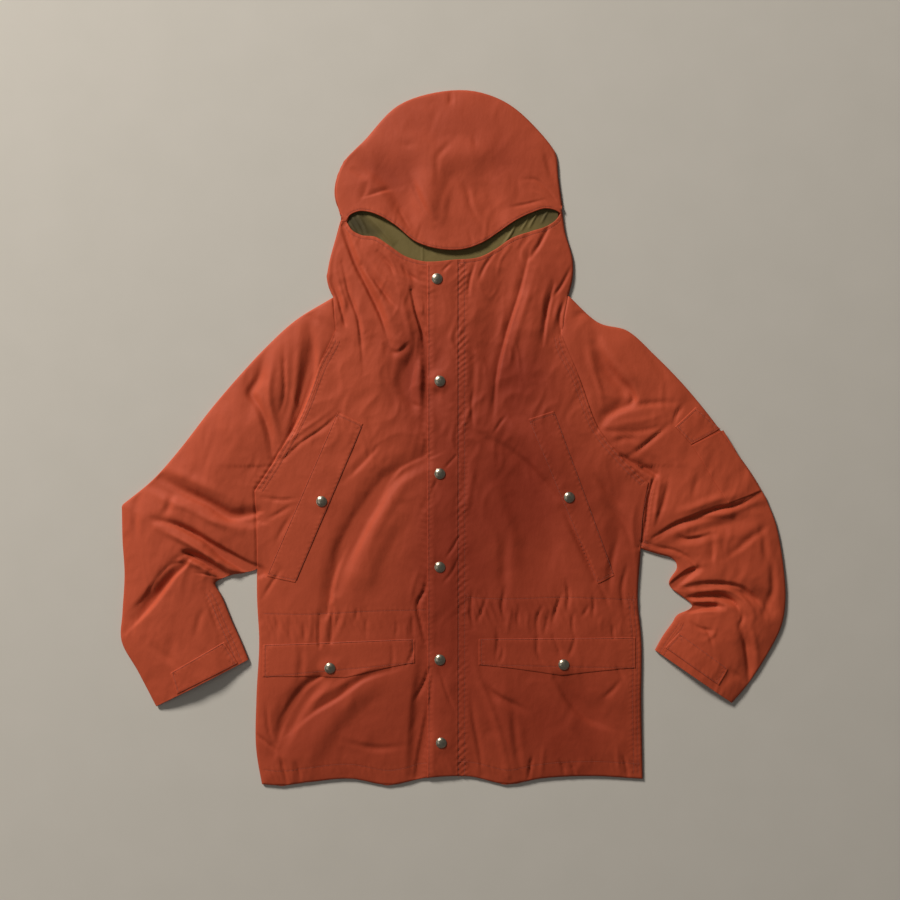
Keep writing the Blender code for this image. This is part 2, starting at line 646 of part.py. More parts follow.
def build():
    clear_scene()
    parka = bpy.data.collections.new("mountain_parka")
    bpy.context.scene.collection.children.link(parka)

    front = body_sheet()
    above_front = FRONT_WALL + SEAM_GAP
    pieces = {
        "body_back": flat_panel(back_outline(), 0.0, BACK_WALL),
        "front_right": thicken(body_sheet(last=ZIP_COLUMNS[0]), FRONT_WALL),
        "front_left": thicken(body_sheet(first=ZIP_COLUMNS[1]), FRONT_WALL),
        "storm_flap": thicken(lifted(storm_flap_sheet(), above_front), FLAP_WALL),
        "hood_back": flat_panel(hood_back_outline(), 0.0, HOOD_SHELL_WALL),
        "hood_crown": thicken(crown_sheet(), FRONT_WALL),
    }
    lining_level = HOOD_SHELL_WALL + SEAM_GAP
    lining = {"hood_lining": flat_panel(lining_outline(), lining_level, LINING_WALL)}
    for side in ("right", "left"):
        on_sleeve = sleeve_top_sheet(side)
        pieces[f"sleeve_{side}"] = sleeve_tube(side)
        pieces[f"chest_flap_{side}"] = laid_on(front, CHEST_FLAPS[side], above_front)
        pieces[f"lower_flap_{side}"] = laid_on(front, LOWER_FLAPS[side], above_front)
        pieces[f"cuff_tab_{side}"] = laid_on(on_sleeve, CUFF_TABS[side], SEAM_GAP)
        if side == "left":
            pieces["sleeve_pocket"] = laid_on(on_sleeve, SLEEVE_POCKET, SEAM_GAP)
            pieces["sleeve_pocket_flap"] = laid_on(on_sleeve, SLEEVE_POCKET_FLAP, SEAM_GAP)

    for name, mesh_of_it in pieces.items():
        add_piece(name, mesh_of_it, "shell", parka)
    for name, mesh_of_it in lining.items():
        add_piece(name, mesh_of_it, "lining", parka)
    for name, snap in SNAPS.items():
        seat, normal = snap_seat(snap, pieces[snap.carrier])
        piece = add_piece(name, snap_cap(), "snap", parka)
        piece.location = seat
        piece.rotation_euler = normal.to_track_quat("Z", "Y").to_euler()


build()
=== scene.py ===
"""The looks of a mountain parka that lies flat on its back: cloth, creases, sewing, snaps and studio.

Right and left are the wearer's, so right lies at -X. Tables are in millimetres, seen from above.
"""

from collections import namedtuple

import bmesh
import bpy
import numpy as np
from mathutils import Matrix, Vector, noise


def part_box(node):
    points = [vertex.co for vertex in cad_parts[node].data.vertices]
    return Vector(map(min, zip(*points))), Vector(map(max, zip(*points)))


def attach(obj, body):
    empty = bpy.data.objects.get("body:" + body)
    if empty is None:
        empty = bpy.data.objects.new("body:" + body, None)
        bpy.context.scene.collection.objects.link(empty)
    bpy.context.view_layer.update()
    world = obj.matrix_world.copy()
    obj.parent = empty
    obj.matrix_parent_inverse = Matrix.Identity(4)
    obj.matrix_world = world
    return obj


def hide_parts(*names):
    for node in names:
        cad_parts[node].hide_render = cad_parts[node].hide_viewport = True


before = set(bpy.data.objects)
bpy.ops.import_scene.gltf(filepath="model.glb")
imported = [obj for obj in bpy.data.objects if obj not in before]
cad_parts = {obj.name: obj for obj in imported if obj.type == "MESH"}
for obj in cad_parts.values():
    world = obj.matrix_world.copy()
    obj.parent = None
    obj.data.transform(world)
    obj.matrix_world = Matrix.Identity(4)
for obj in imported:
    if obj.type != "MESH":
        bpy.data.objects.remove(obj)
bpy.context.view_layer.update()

MM = 0.001
JOIN = 1e-6  # in metres, between points that are one
OUTWARDS = {"right": -1, "left": 1}  # which way x runs from the middle of the coat

# ---------------------------------------------------------------- how finely the cloth is divided
CELL = 2.6  # between the points of a panel
FLY_CELL, LINING_CELL, BACK_CELL, UNDER_CELL = 2.2, 1.7, 7.0, 8.0  # the last two are for cloth on the floor
EDGE_STEPS = (0.0, 0.5, 1.1, 1.9, 3.0, 4.4)  # where a panel's first points lie, in from its edge
# About how large each piece is, for the count of its cells
RIGHT_WIDE, LEFT_WIDE, BACK_WIDE, SLEEVE_WIDE, LINING_WIDE = 270, 294, 560, 170, 330
CROWN_WIDE, CROWN_TALL, HOOD_BACK_WIDE, HOOD_BACK_TALL = 380, 200, 340, 180

# ---------------------------------------------------------------- walls and levels of the cloth
SHELL_WALL, CROWN_WALL, FLAP_WALL, FLY_WALL, POCKET_WALL, LINING_WALL = 0.9, 1.1, 1.1, 1.2, 0.8, 0.7
FLOOR_GAP = 0.05
BACK_LEVEL = 1.0  # the upper face of the cloth that lies on the floor
TURN = 3.0  # how far in from an edge the lower cloth starts to turn up
EDGE_LEVEL = 2.4  # height of the fold along a garment edge
EDGE_TOP = 4.2  # height that the cloth reaches a little way in from such an edge
EDGE_ROUND = 3.2
BODY_LOFT = 4.6
LOFT_REACH = 34.0
SLEEVE_PUFF = 4.6
PUFF_GROWS, PUFF_EDGE = 60.0, 30.0  # out from the body, and in from the sleeve's edges
LOWEST = 2.3  # of the upper layer
LINING_LEVEL, LINING_LOWEST = 3.0, 1.5
LINING_ROOM = 2.1  # at least, under the face of the cloth above it
FAR = 60.0  # beyond this an edge no longer shapes the cloth
CREASE_FADE = 4.0  # creases die out this far from a garment edge
CREASE_GROWS = 0.4  # share of its length over which a crease grows, and over which it fades
CRUMPLE_X, CRUMPLE_Y = 0.016, 0.012  # how fast the crumpling changes across the coat and up it
CHEST_Y, CHEST_TALL, CHEST_WIDE = 110, 190, 215  # where the cloth is most crumpled
DENT, DENT_SCALE = 1.2, 0.02  # in the sleeves' undersides

# ---------------------------------------------------------------- places on the coat
NECK_SEAM_Y = 206
UNDERARM_Y, BODY_SIDE_X, NECK_SIDE_X = -40, 284, 150
HEM_HALF = 272
ZIP_X = -14.5
FLY_FREE_X, FLY_SEWN_X = -37.5, 7.0
FLY_RISE, FLAP_RISE = 1.4, 0.75  # two layers of cloth on the fronts
FLY_SEAM_RISE, FLY_SPREAD = 0.45, 13  # at the sewn edge, from where it spreads to its full rise
BRIM_RISE, BRIM_HEM = 0.4, 10  # the hem thickens the brim, and how far in
POCKET_RISE, POCKET_WIDE, POCKET_TALL = 0.9, 50, 95
ROPE_X = 12.5  # middle of the double stitching beside the fly
RAGLAN_TUCK = 3.5  # how far the sleeve's sewn edge lies under the front's
SEAM_STEP = 1.4  # and how much lower, which is less at the neck, from this height up
SEAM_NECK_Y, SEAM_NECK_REACH, SEAM_NECK_LESS = 130, 40, 0.6
TUCK_REACH = 4.0  # over this the sleeve comes down to its step
UNDER_FRONT, UNDER_DROP = 1.5, 1.1  # from here inwards, it comes down by this much more
SLEEVE_UPPER = 4.0  # faces of a sleeve that are higher belong to its upper side
RAGLAN_REACH = 3.0  # in sections from the seam
SHARP_ELBOW = {"right": 7, "left": 8}  # the section at the corner of the elbow
SLEEVE_LEAVES = {"right": -191.0, "left": -157.0}  # up to here the sleeve lies beneath the front's edge
SNAP_RADIUS, SNAP_HOLD, SNAP_SINK = 7.8, 15, 0.1  # its cap, and the cloth that it holds and presses

# ---------------------------------------------------------------- sewing
STITCH = 2.8  # from one needle hole to the next
THREAD = 0.24
RAGLAN_GAP, ROPE_GAP, TWIN_GAP = 3.0, 4.4, 3.4  # of double rows, from their middle
FLAP_INSET = 4.2
SEAM_FAR = 20.0  # beyond this a seam leaves no mark on the cloth

# ---------------------------------------------------------------- finishes
YARNS = 410.0  # the scale of the weave
CLOTH_ROUGHNESS = 0.6


Snap = namedtuple("Snap", "x y node")
# A crease runs through its points. It reaches `left` and `right` of them, and rises by `rise`, where a
# valley is below 0. `soft` is 0 for a sharp crease and 1 for a round one, and `start` and `end` say how
# much of it is left at its two ends.
Crease = namedtuple("Crease", "points left right rise soft start end")

# ---------------------------------------------------------------- edges, hem upwards
# They leave the plain edges of the solids by a few millimetres where the cloth is folded or tucked under.
BODY_EDGE = {
    "right": {
        "side": (
            (-277, -502), (-285, -455), (-285, -379), (-281, -292),
            (-284, -234), (-284, -147), (-287, -76),
        ),
        "raglan": (
            (-287, -76), (-258, -31), (-222, 34), (-193, 107), (-170, 157),
        ),
        "neck": ((-170, 157), (-172, 181), (-174, 205)),
        "hood": (
            (-174, 205), (-183, 230), (-180, 252), (-170, 290), (-162, 317),
        ),
    },
    "left": {
        "side": (
            (275, -494), (273, -379), (273, -292), (268, -234),
            (272, -164), (275, -110), (283, -64),
        ),
        "raglan": (
            (283, -64), (249, -31), (213, 12), (184, 85), (157, 150),
        ),
        "neck": ((157, 150), (162, 180), (167, 208)),
        "hood": (
            (167, 208), (173, 230), (174, 255), (162, 302), (158, 330),
        ),
    },
}
STRETCHES = ("side", "raglan", "neck", "hood")

HEM = (
    (-277, -502), (-251, -504), (-210, -499), (-150, -494), (-91, -503),
    (-41, -493), (25, -491), (80, -502), (126, -494), (200, -490),
    (275, -494),
)
FACE_OPENING_BELOW = (
    (-163, 318), (-155, 315), (-148, 304), (-136, 296), (-110, 291), (-93, 280),
    (-71, 265), (-45, 257), (3, 259), (42, 264), (64, 276), (81, 288),
    (112, 300), (138, 309), (151, 319), (158, 330),
)
BRIM = (
    (-162, 314), (-156, 314), (-150, 323), (-136, 329), (-123, 328), (-106, 322),
    (-84, 309), (-54, 285), (-19, 274), (16, 274), (42, 283), (68, 300),
    (90, 315), (112, 326), (136, 333), (150, 330), (158, 325),
)
HOOD_OUTLINE = (
    (-163, 325), (-171, 353), (-160, 399), (-128, 433), (-77, 485),
    (-26, 502), (32, 504), (75, 489), (119, 452), (148, 414),
    (153, 375), (158, 338),
)

# ---------------------------------------------------------------- sleeves, a row for each section
SLEEVES = {
    "right": (
        (-285, -78, -174, 205), (-282, -97, -228, 172), (-280, -115, -272, 132),
        (-279, -136, -312, 89), (-279, -160, -352, 42), (-280, -186, -397, -16),
        (-303, -195, -436, -60), (-321, -198, -481, -97), (-341, -206, -480, -147),
        (-345, -213, -477, -198), (-335, -231, -480, -252), (-322, -263, -481, -295),
        (-309, -292, -457, -339), (-297, -321, -431, -389),
    ),
    "left": (
        (281, -65, 167, 208), (277, -76, 210, 169), (274, -89, 254, 156),
        (271, -103, 294, 120), (269, -120, 334, 79), (268, -139, 370, 36),
        (269, -157, 402, -7), (295, -167, 431, -47), (318, -174, 454, -85),
        (325, -188, 470, -128), (314, -213, 480, -185), (347, -242, 483, -234),
        (326, -256, 476, -275), (318, -268, 452, -321), (305, -286, 428, -357),
        (293, -307, 405, -384),
    ),
}

# ---------------------------------------------------------------- creases
# Each row holds the fields of a Crease
BROAD_FOLDS = (
    (((-42, 175), (-39, 128), (-39, 70), (-42, 12)), 46, 10, -5.2, 1.0, 0.2, 0.2),
    (((-94, 256), (-88, 186), (-94, 114), (-117, 41)), 40, 30, 2.8, 1.0, 0.1, 0.0),
    (((57, -14), (91, -54), (120, -118), (138, -194), (144, -252)), 48, 66, -6.2, 1.0, 0.2, 0.1),
    (((45, 27), (97, 9), (149, -34), (184, -86)), 26, 30, 3.8, 1.0, 0.2, 0.1),
    (((-41, -34), (-83, -57), (-117, -104), (-146, -159), (-170, -220)), 14, 40, -6.2, 1.0, 0.3, 0.3),
    (((-65, -83), (-100, -133), (-123, -185), (-135, -234)), 24, 34, 3.2, 1.0, 0.1, 0.1),
    (((-117, 201), (-100, 149), (-80, 85), (-65, 27)), 20, 26, -3.2, 1.0, 0.2, 0.0),
    (((86, 273), (68, 201), (54, 128), (45, 56)), 26, 34, -4.2, 1.0, 0.3, 0.1),
    (((126, 244), (115, 172), (112, 99)), 26, 26, 3.0, 1.0, 0.2, 0.1),
    (((228, -46), (239, -118), (236, -191)), 24, 24, -3.0, 1.0, 0.1, 0.1),
    (((-46, 146), (-62, 114), (-65, 79), (-57, 41), (-41, 9)), 16, 22, -4.5, 0.9, 0.4, 0.3),
    (((-181, -339), (-210, -379), (-233, -414), (-251, -449)), 14, 36, -5.8, 1.0, 0.4, 0.2),
    (((-88, -333), (-149, -379), (-196, -437), (-222, -488)), 26, 40, 3.8, 1.0, 0.1, 0.2),
    (((-42, -307), (-51, -379), (-59, -488)), 34, 12, -4.0, 1.0, 0.2, 0.5),
    (((158, -333), (190, -388), (236, -423)), 34, 22, -4.5, 1.0, 0.3, 0.2),
    (((54, -321), (77, -397), (97, -489)), 26, 28, 3.2, 1.0, 0.1, 0.4),
    (((-146, 404), (-100, 381), (-71, 337), (-48, 294)), 40, 22, -6.5, 1.0, 0.2, 0.4),
    (((-19, 418), (-33, 360), (-28, 299)), 30, 34, 5.3, 1.0, 0.0, 0.3),
    (((25, 389), (57, 337), (68, 299)), 26, 34, -4.2, 1.0, 0.1, 0.3),
    (((-94, 462), (-48, 418), (25, 410), (97, 433)), 34, 34, 3.4, 1.0, 0.0, 0.0),
    (((-199, 157), (-204, 102), (-222, 44), (-248, -11)), 10, 44, -5.8, 1.0, 0.3, 0.2),
    (((-274, 120), (-291, 62), (-294, 12)), 20, 26, -3.2, 1.0, 0.1, 0.1),
    (((-439, -66), (-387, -89), (-338, -112), (-289, -121)), 28, 12, -5.5, 1.0, 0.5, 0.5),
    (((-402, -185), (-425, -220), (-460, -260)), 12, 20, -3.8, 1.0, 0.4, 0.1),
    (((202, 134), (228, 91), (245, 62), (222, 36)), 12, 34, -5.5, 1.0, 0.4, 0.3),
    (((257, -25), (286, -40), (303, -57)), 20, 10, -3.2, 1.0, 0.2, 0.4),
    (((306, -141), (352, -121), (402, -115), (445, -98)), 10, 30, -5.5, 1.0, 0.3, 0.3),
    (((344, -220), (381, -223), (422, -228), (451, -243)), 10, 22, -5.2, 1.0, 0.3, 0.2),
    (((428, -217), (454, -237), (463, -269)), 18, 14, -4.2, 1.0, 0.3, 0.2),
    (((419, -278), (431, -315), (431, -350)), 10, 22, -3.2, 1.0, 0.2, 0.5),
)
NECK_CREASES = (
    (((-161, 308), (-149, 273), (-141, 252), (-125, 220), (-104, 175), (-88, 125)),
     12, 5, -6.1, 0.3, 0.9, 0.1),
    (((-154, 305), (-138, 266), (-123, 237), (-103, 201), (-83, 150)), 9, 9, 2.1, 0.8, 0.4, 0.0),
    (((-178, 231), (-167, 204), (-157, 166)), 7, 4, -4.1, 0.2, 0.3, 0.5),
    (((-170, 241), (-160, 207), (-149, 175)), 5, 6, 1.4, 0.6, 0.3, 0.2),
    (((-161, 256), (-149, 204), (-139, 178), (-133, 136), (-130, 96)), 7, 4, -3.2, 0.2, 0.3, 0.1),
    (((-132, 252), (-107, 220), (-90, 198), (-71, 182)), 8, 5, -3.5, 0.3, 0.5, 0.0),
    (((-135, 273), (-109, 241), (-83, 212), (-62, 192)), 8, 8, 1.7, 0.8, 0.2, 0.0),
    (((-61, 215), (-55, 186), (-45, 152), (-38, 107)), 9, 3, -4.6, 0.2, 0.5, 0.6),
    (((-74, 215), (-68, 179), (-59, 143), (-49, 107)), 8, 8, 1.5, 0.8, 0.2, 0.2),
    (((-41, 128), (-54, 111), (-65, 85), (-71, 56)), 14, 22, -3.2, 0.9, 0.6, 0.1),
    (((-99, 136), (-83, 125), (-62, 140)), 4, 10, -2.2, 0.4, 0.2, 0.2),
    (((-19, 236), (-13, 244), (-1, 256)), 3, 4, -1.6, 0.4, 0.3, 0.2),
    (((-212, 181), (-190, 169), (-167, 154)), 3, 7, -2.7, 0.2, 0.7, 0.4),
    (((-196, 194), (-173, 175), (-155, 152)), 5, 6, 1.1, 0.7, 0.2, 0.3),
    (((110, 266), (97, 214), (78, 154), (64, 95), (58, 18)), 5, 12, -4.9, 0.2, 0.4, 0.1),
    (((120, 247), (107, 201), (90, 146), (77, 96)), 9, 9, 1.8, 0.8, 0.3, 0.0),
    (((146, 224), (135, 175), (130, 137)), 4, 9, -3.8, 0.2, 0.3, 0.2),
    (((158, 212), (149, 183), (144, 152)), 6, 6, 1.3, 0.7, 0.2, 0.1),
    (((171, 247), (155, 218), (142, 201)), 5, 5, -2.2, 0.4, 0.6, 0.1),
    (((138, 305), (126, 282), (113, 262)), 5, 7, -3.0, 0.3, 0.6, 0.5),
    (((162, 201), (155, 175), (157, 153)), 4, 6, -2.7, 0.3, 0.2, 0.6),
    (((173, 175), (190, 183), (209, 192)), 4, 6, -3.5, 0.3, 0.3, 0.6),
    (((171, 143), (184, 163), (202, 175)), 5, 5, 1.3, 0.5, 0.2, 0.4),
    (((33, 256), (25, 230), (22, 201)), 4, 6, -2.2, 0.4, 0.3, 0.1),
    (((59, 268), (45, 247), (36, 224)), 5, 5, -1.9, 0.5, 0.4, 0.0),
    (((83, 279), (68, 256), (64, 230)), 5, 5, 0.9, 0.6, 0.4, 0.0),
    (((-77, 256), (-65, 239), (-48, 227)), 5, 6, -2.4, 0.4, 0.2, 0.2),
    (((-109, 270), (-91, 250), (-83, 230)), 5, 6, -2.2, 0.4, 0.4, 0.1),
)
BODY_CREASES = (
    (((-41, -25), (-78, -44), (-102, -73), (-119, -98),
      (-138, -124), (-160, -165), (-175, -212), (-181, -252)), 5, 20, -4.9, 0.35, 0.3, 0.7),
    (((-42, -46), (-65, -63), (-86, -89), (-106, -121), (-126, -162), (-141, -212)),
     12, 14, 1.8, 0.9, 0.1, 0.2),
    (((-71, 67), (-62, 53), (-42, 44)), 5, 6, -1.6, 0.6, 0.1, 0.3),
    (((-103, -5), (-132, -37), (-158, -63)), 6, 12, -2.2, 0.5, 0.1, 0.2),
    (((-246, -30), (-223, -8), (-191, 14), (-165, 36)), 3, 8, -1.9, 0.2, 0.6, 0.5),
    (((-252, -17), (-228, 4), (-196, 27), (-173, 44)), 6, 5, 0.9, 0.6, 0.5, 0.3),
    (((-277, -85), (-245, -89), (-222, -86)), 4, 5, -1.8, 0.4, 0.4, 0.1),
    (((-271, -118), (-251, -107), (-233, -96)), 4, 6, -1.6, 0.5, 0.2, 0.2),
    (((-277, -234), (-262, -208), (-248, -188)), 4, 5, -2.2, 0.3, 0.3, 0.3),
    (((-258, -154), (-246, -130), (-232, -107)), 5, 6, -1.6, 0.5, 0.2, 0.2),
    (((54, -2), (72, -11), (90, -24), (115, -46), (144, -80), (164, -118)), 9, 16, -3.5, 0.6, 0.3, 0.1),
    (((36, -25), (28, -54), (22, -89), (13, -124)), 8, 12, 1.4, 0.8, 0.2, 0.1),
    (((78, 34), (68, 21), (59, 7)), 3, 5, -2.2, 0.3, 0.2, 0.2),
    (((75, -130), (74, -179), (75, -234)), 12, 14, -2.4, 0.9, 0.2, 0.3),
    (((45, -46), (68, -89), (86, -147), (91, -205)), 16, 18, 1.5, 0.9, 0.1, 0.1),
    (((-33, -85), (-25, -63), (-9, -40), (4, -25)), 3, 4, -2.4, 0.3, 0.2, 0.5),
    (((-13, -176), (-1, -159), (9, -141)), 3, 4, -1.9, 0.4, 0.1, 0.5),
    (((-17, -211), (-4, -196), (7, -176)), 3, 5, -1.6, 0.4, 0.1, 0.5),
    (((-38, -194), (-42, -220), (-51, -237), (-46, -272), (-41, -294)), 7, 4, -4.3, 0.25, 0.2, 0.6),
    (((-48, -185), (-57, -211), (-62, -243)), 5, 6, 1.1, 0.7, 0.1, 0.2),
    (((-193, -252), (-194, -278), (-194, -301)), 5, 3, -3.5, 0.2, 0.2, 0.7),
    (((-175, -243), (-175, -269), (-177, -295)), 4, 5, -3.5, 0.2, 0.6, 0.7),
    (((-184, -249), (-184, -272), (-186, -298)), 4, 4, 1.3, 0.5, 0.2, 0.5),
    (((242, -133), (231, -176), (225, -234)), 8, 10, -2.2, 0.6, 0.2, 0.2),
    (((254, -176), (245, -220), (251, -263)), 6, 6, -2.4, 0.5, 0.1, 0.3),
    (((219, -89), (245, -118), (262, -159)), 6, 9, -2.2, 0.5, 0.1, 0.3),
    (((202, -46), (228, -78), (254, -107)), 6, 10, -1.9, 0.6, 0.1, 0.1),
    (((271, -75), (260, -118), (265, -176), (271, -234)), 7, 5, 1.1, 0.6, 0.2, 0.2),
    (((68, 201), (72, 143), (68, 85)), 10, 10, 0.8, 0.9, 0.2, 0.0),
    (((25, 157), (30, 96), (25, 27)), 8, 10, -1.4, 0.8, 0.1, 0.1),
    (((32, 78), (28, 56), (30, 9)), 4, 5, -1.8, 0.5, 0.2, 0.1),
    (((161, -101), (175, -133), (193, -170), (207, -204)), 3, 10, -4.6, 0.1, 0.3, 0.5),
    (((209, -207), (219, -225), (228, -246)), 4, 6, -2.4, 0.3, 0.5, 0.2),
)
SKIRT_CREASES = (
    (((-190, -344), (-213, -360), (-228, -381), (-242, -405), (-251, -427), (-255, -443)),
     5, 12, -5.7, 0.3, 0.5, 0.2),
    (((-178, -359), (-199, -376), (-216, -397), (-233, -428)), 8, 8, 1.7, 0.8, 0.2, 0.1),
    (((-81, -334), (-129, -349), (-167, -376), (-203, -398), (-238, -428)), 4, 18, -4.1, 0.3, 0.2, 0.2),
    (((-83, -324), (-126, -336), (-167, -359), (-202, -379)), 8, 8, 1.1, 0.8, 0.1, 0.1),
    (((-270, -379), (-267, -420), (-258, -449)), 4, 6, -2.4, 0.3, 0.1, 0.4),
    (((-284, -430), (-271, -440), (-257, -453)), 4, 4, -3.2, 0.3, 0.7, 0.3),
    (((-251, -457), (-246, -478), (-241, -500)), 5, 4, -3.5, 0.3, 0.2, 0.9),
    (((-238, -460), (-233, -481), (-231, -498)), 4, 4, 1.3, 0.5, 0.2, 0.8),
    (((-228, -466), (-223, -484), (-222, -498)), 4, 4, -2.4, 0.4, 0.1, 0.8),
    (((-33, -330), (-45, -360), (-57, -382)), 6, 4, -3.2, 0.3, 0.2, 0.1),
    (((-36, -385), (-42, -420), (-49, -455), (-54, -492)), 22, 4, -4.6, 0.35, 0.2, 0.9),
    (((-20, -333), (-9, -368), (4, -399)), 5, 4, -1.9, 0.4, 0.4, 0.1),
    (((-28, -333), (-32, -368), (-32, -397)), 4, 4, -1.4, 0.4, 0.4, 0.1),
    (((30, -307), (35, -340), (48, -372), (62, -411), (74, -455), (80, -489)), 8, 10, 2.1, 0.7, 0.2, 0.5),
    (((39, -350), (58, -368), (83, -382), (112, -397)), 7, 12, -3.2, 0.5, 0.2, 0.0),
    (((25, -365), (30, -408), (39, -455), (42, -489)), 8, 6, -2.4, 0.5, 0.1, 0.6),
    (((149, -347), (170, -382), (199, -408), (233, -421)), 20, 9, -4.3, 0.5, 0.4, 0.1),
    (((126, -356), (149, -388), (173, -414), (202, -437)), 10, 12, 1.3, 0.9, 0.1, 0.1),
    (((86, -379), (88, -414), (94, -460), (100, -489)), 9, 9, -2.4, 0.8, 0.1, 0.5),
    (((115, -457), (112, -475), (110, -492)), 4, 4, -2.7, 0.4, 0.1, 0.9),
    (((132, -440), (130, -463), (128, -489)), 5, 5, 1.3, 0.5, 0.1, 0.8),
    (((155, -466), (160, -478), (162, -489)), 4, 4, -2.4, 0.4, 0.2, 0.8),
    (((170, -468), (174, -479), (177, -491)), 4, 4, -2.2, 0.4, 0.2, 0.8),
    (((245, -455), (251, -475), (254, -492)), 5, 4, -3.0, 0.4, 0.1, 0.8),
    (((236, -437), (239, -466), (242, -489)), 5, 5, 1.0, 0.6, 0.1, 0.7),
    (((213, -379), (231, -365), (245, -347)), 6, 6, -1.6, 0.6, 0.1, 0.1),
    (((-164, -437), (-106, -449), (-65, -443)), 8, 8, -1.6, 0.9, 0.1, 0.1),
    (((-222, -292), (-219, -321), (-222, -353)), 9, 9, -1.9, 0.9, 0.3, 0.3),
    (((-88, -295), (-87, -318), (-91, -339)), 4, 6, -1.6, 0.5, 0.4, 0.2),
    (((-57, -292), (-59, -312), (-71, -333)), 4, 5, -1.9, 0.4, 0.4, 0.1),
    (((123, -286), (123, -310), (138, -333)), 4, 6, -2.4, 0.4, 0.5, 0.1),
    (((145, -286), (154, -307), (158, -321)), 4, 5, -2.4, 0.4, 0.5, 0.3),
    (((177, -286), (171, -307), (164, -321)), 5, 4, -1.9, 0.4, 0.5, 0.2),
    (((68, -289), (72, -310), (65, -330)), 5, 6, -1.9, 0.5, 0.3, 0.2),
    (((64, -275), (65, -298), (62, -324)), 4, 5, -1.9, 0.4, 0.3, 0.2),
    (((236, -327), (242, -339), (248, -350)), 6, 6, -1.6, 0.6, 0.2, 0.2),
)
WAIST_GATHERS = (
    (((28, -220), (26, -249), (29, -275)), 4, 4, -3.1, 0.3, 0.2, 0.3),
    (((48, -231), (41, -252), (35, -266)), 4, 4, -2.5, 0.3, 0.3, 0.2),
    (((75, -217), (71, -240), (74, -266)), 5, 4, -2.7, 0.4, 0.2, 0.3),
    (((84, -243), (81, -263), (78, -281)), 4, 4, 1.4, 0.5, 0.2, 0.4),
    (((96, -243), (94, -257), (96, -272)), 3, 4, -2.1, 0.3, 0.3, 0.3),
    (((129, -243), (122, -260), (122, -281)), 4, 4, -2.8, 0.3, 0.3, 0.6),
    (((139, -252), (136, -266), (133, -281)), 3, 4, -2.2, 0.4, 0.3, 0.4),
    (((157, -225), (149, -249), (144, -266)), 4, 4, -3.1, 0.3, 0.3, 0.2),
    (((164, -205), (167, -228), (164, -252)), 5, 4, -3.4, 0.3, 0.2, 0.2),
    (((175, -252), (173, -266), (175, -283)), 3, 4, -2.5, 0.3, 0.3, 0.6),
    (((186, -260), (193, -249), (197, -240)), 4, 3, -2.0, 0.4, 0.2, 0.2),
    (((203, -223), (204, -243), (202, -260)), 4, 4, -2.5, 0.4, 0.2, 0.2),
    (((229, -266), (232, -278), (233, -289)), 4, 4, -2.2, 0.4, 0.2, 0.5),
    (((244, -263), (242, -278), (245, -289)), 4, 4, 1.2, 0.5, 0.2, 0.4),
    (((251, -240), (257, -254), (262, -260)), 4, 4, -2.0, 0.4, 0.2, 0.2),
    (((216, -257), (213, -272), (215, -283)), 4, 4, 1.1, 0.5, 0.2, 0.4),
    (((109, -252), (107, -266), (109, -281)), 4, 4, 1.3, 0.5, 0.2, 0.4),
    (((-257, -257), (-254, -275), (-257, -295)), 5, 5, -1.3, 0.5, 0.2, 0.3),
    (((-238, -260), (-236, -278), (-233, -295)), 4, 5, -1.5, 0.5, 0.2, 0.3),
    (((-218, -260), (-215, -278), (-216, -295)), 4, 4, -1.8, 0.4, 0.2, 0.4),
    (((-206, -254), (-206, -275), (-209, -295)), 4, 4, 1.2, 0.5, 0.2, 0.3),
    (((-164, -252), (-168, -266), (-173, -286)), 4, 4, -2.1, 0.4, 0.2, 0.5),
    (((-155, -243), (-158, -260), (-164, -281)), 4, 4, 1.2, 0.5, 0.2, 0.3),
    (((-141, -240), (-139, -254), (-142, -266)), 3, 4, -1.7, 0.4, 0.2, 0.2),
    (((-123, -257), (-126, -272), (-125, -289)), 4, 5, -1.3, 0.5, 0.2, 0.4),
    (((-83, -260), (-81, -275), (-83, -289)), 4, 4, -1.8, 0.4, 0.2, 0.3),
    (((-71, -263), (-68, -278), (-67, -292)), 4, 4, 1.1, 0.5, 0.2, 0.3),
    (((-59, -252), (-59, -272), (-57, -289)), 4, 4, -2.2, 0.4, 0.2, 0.5),
)
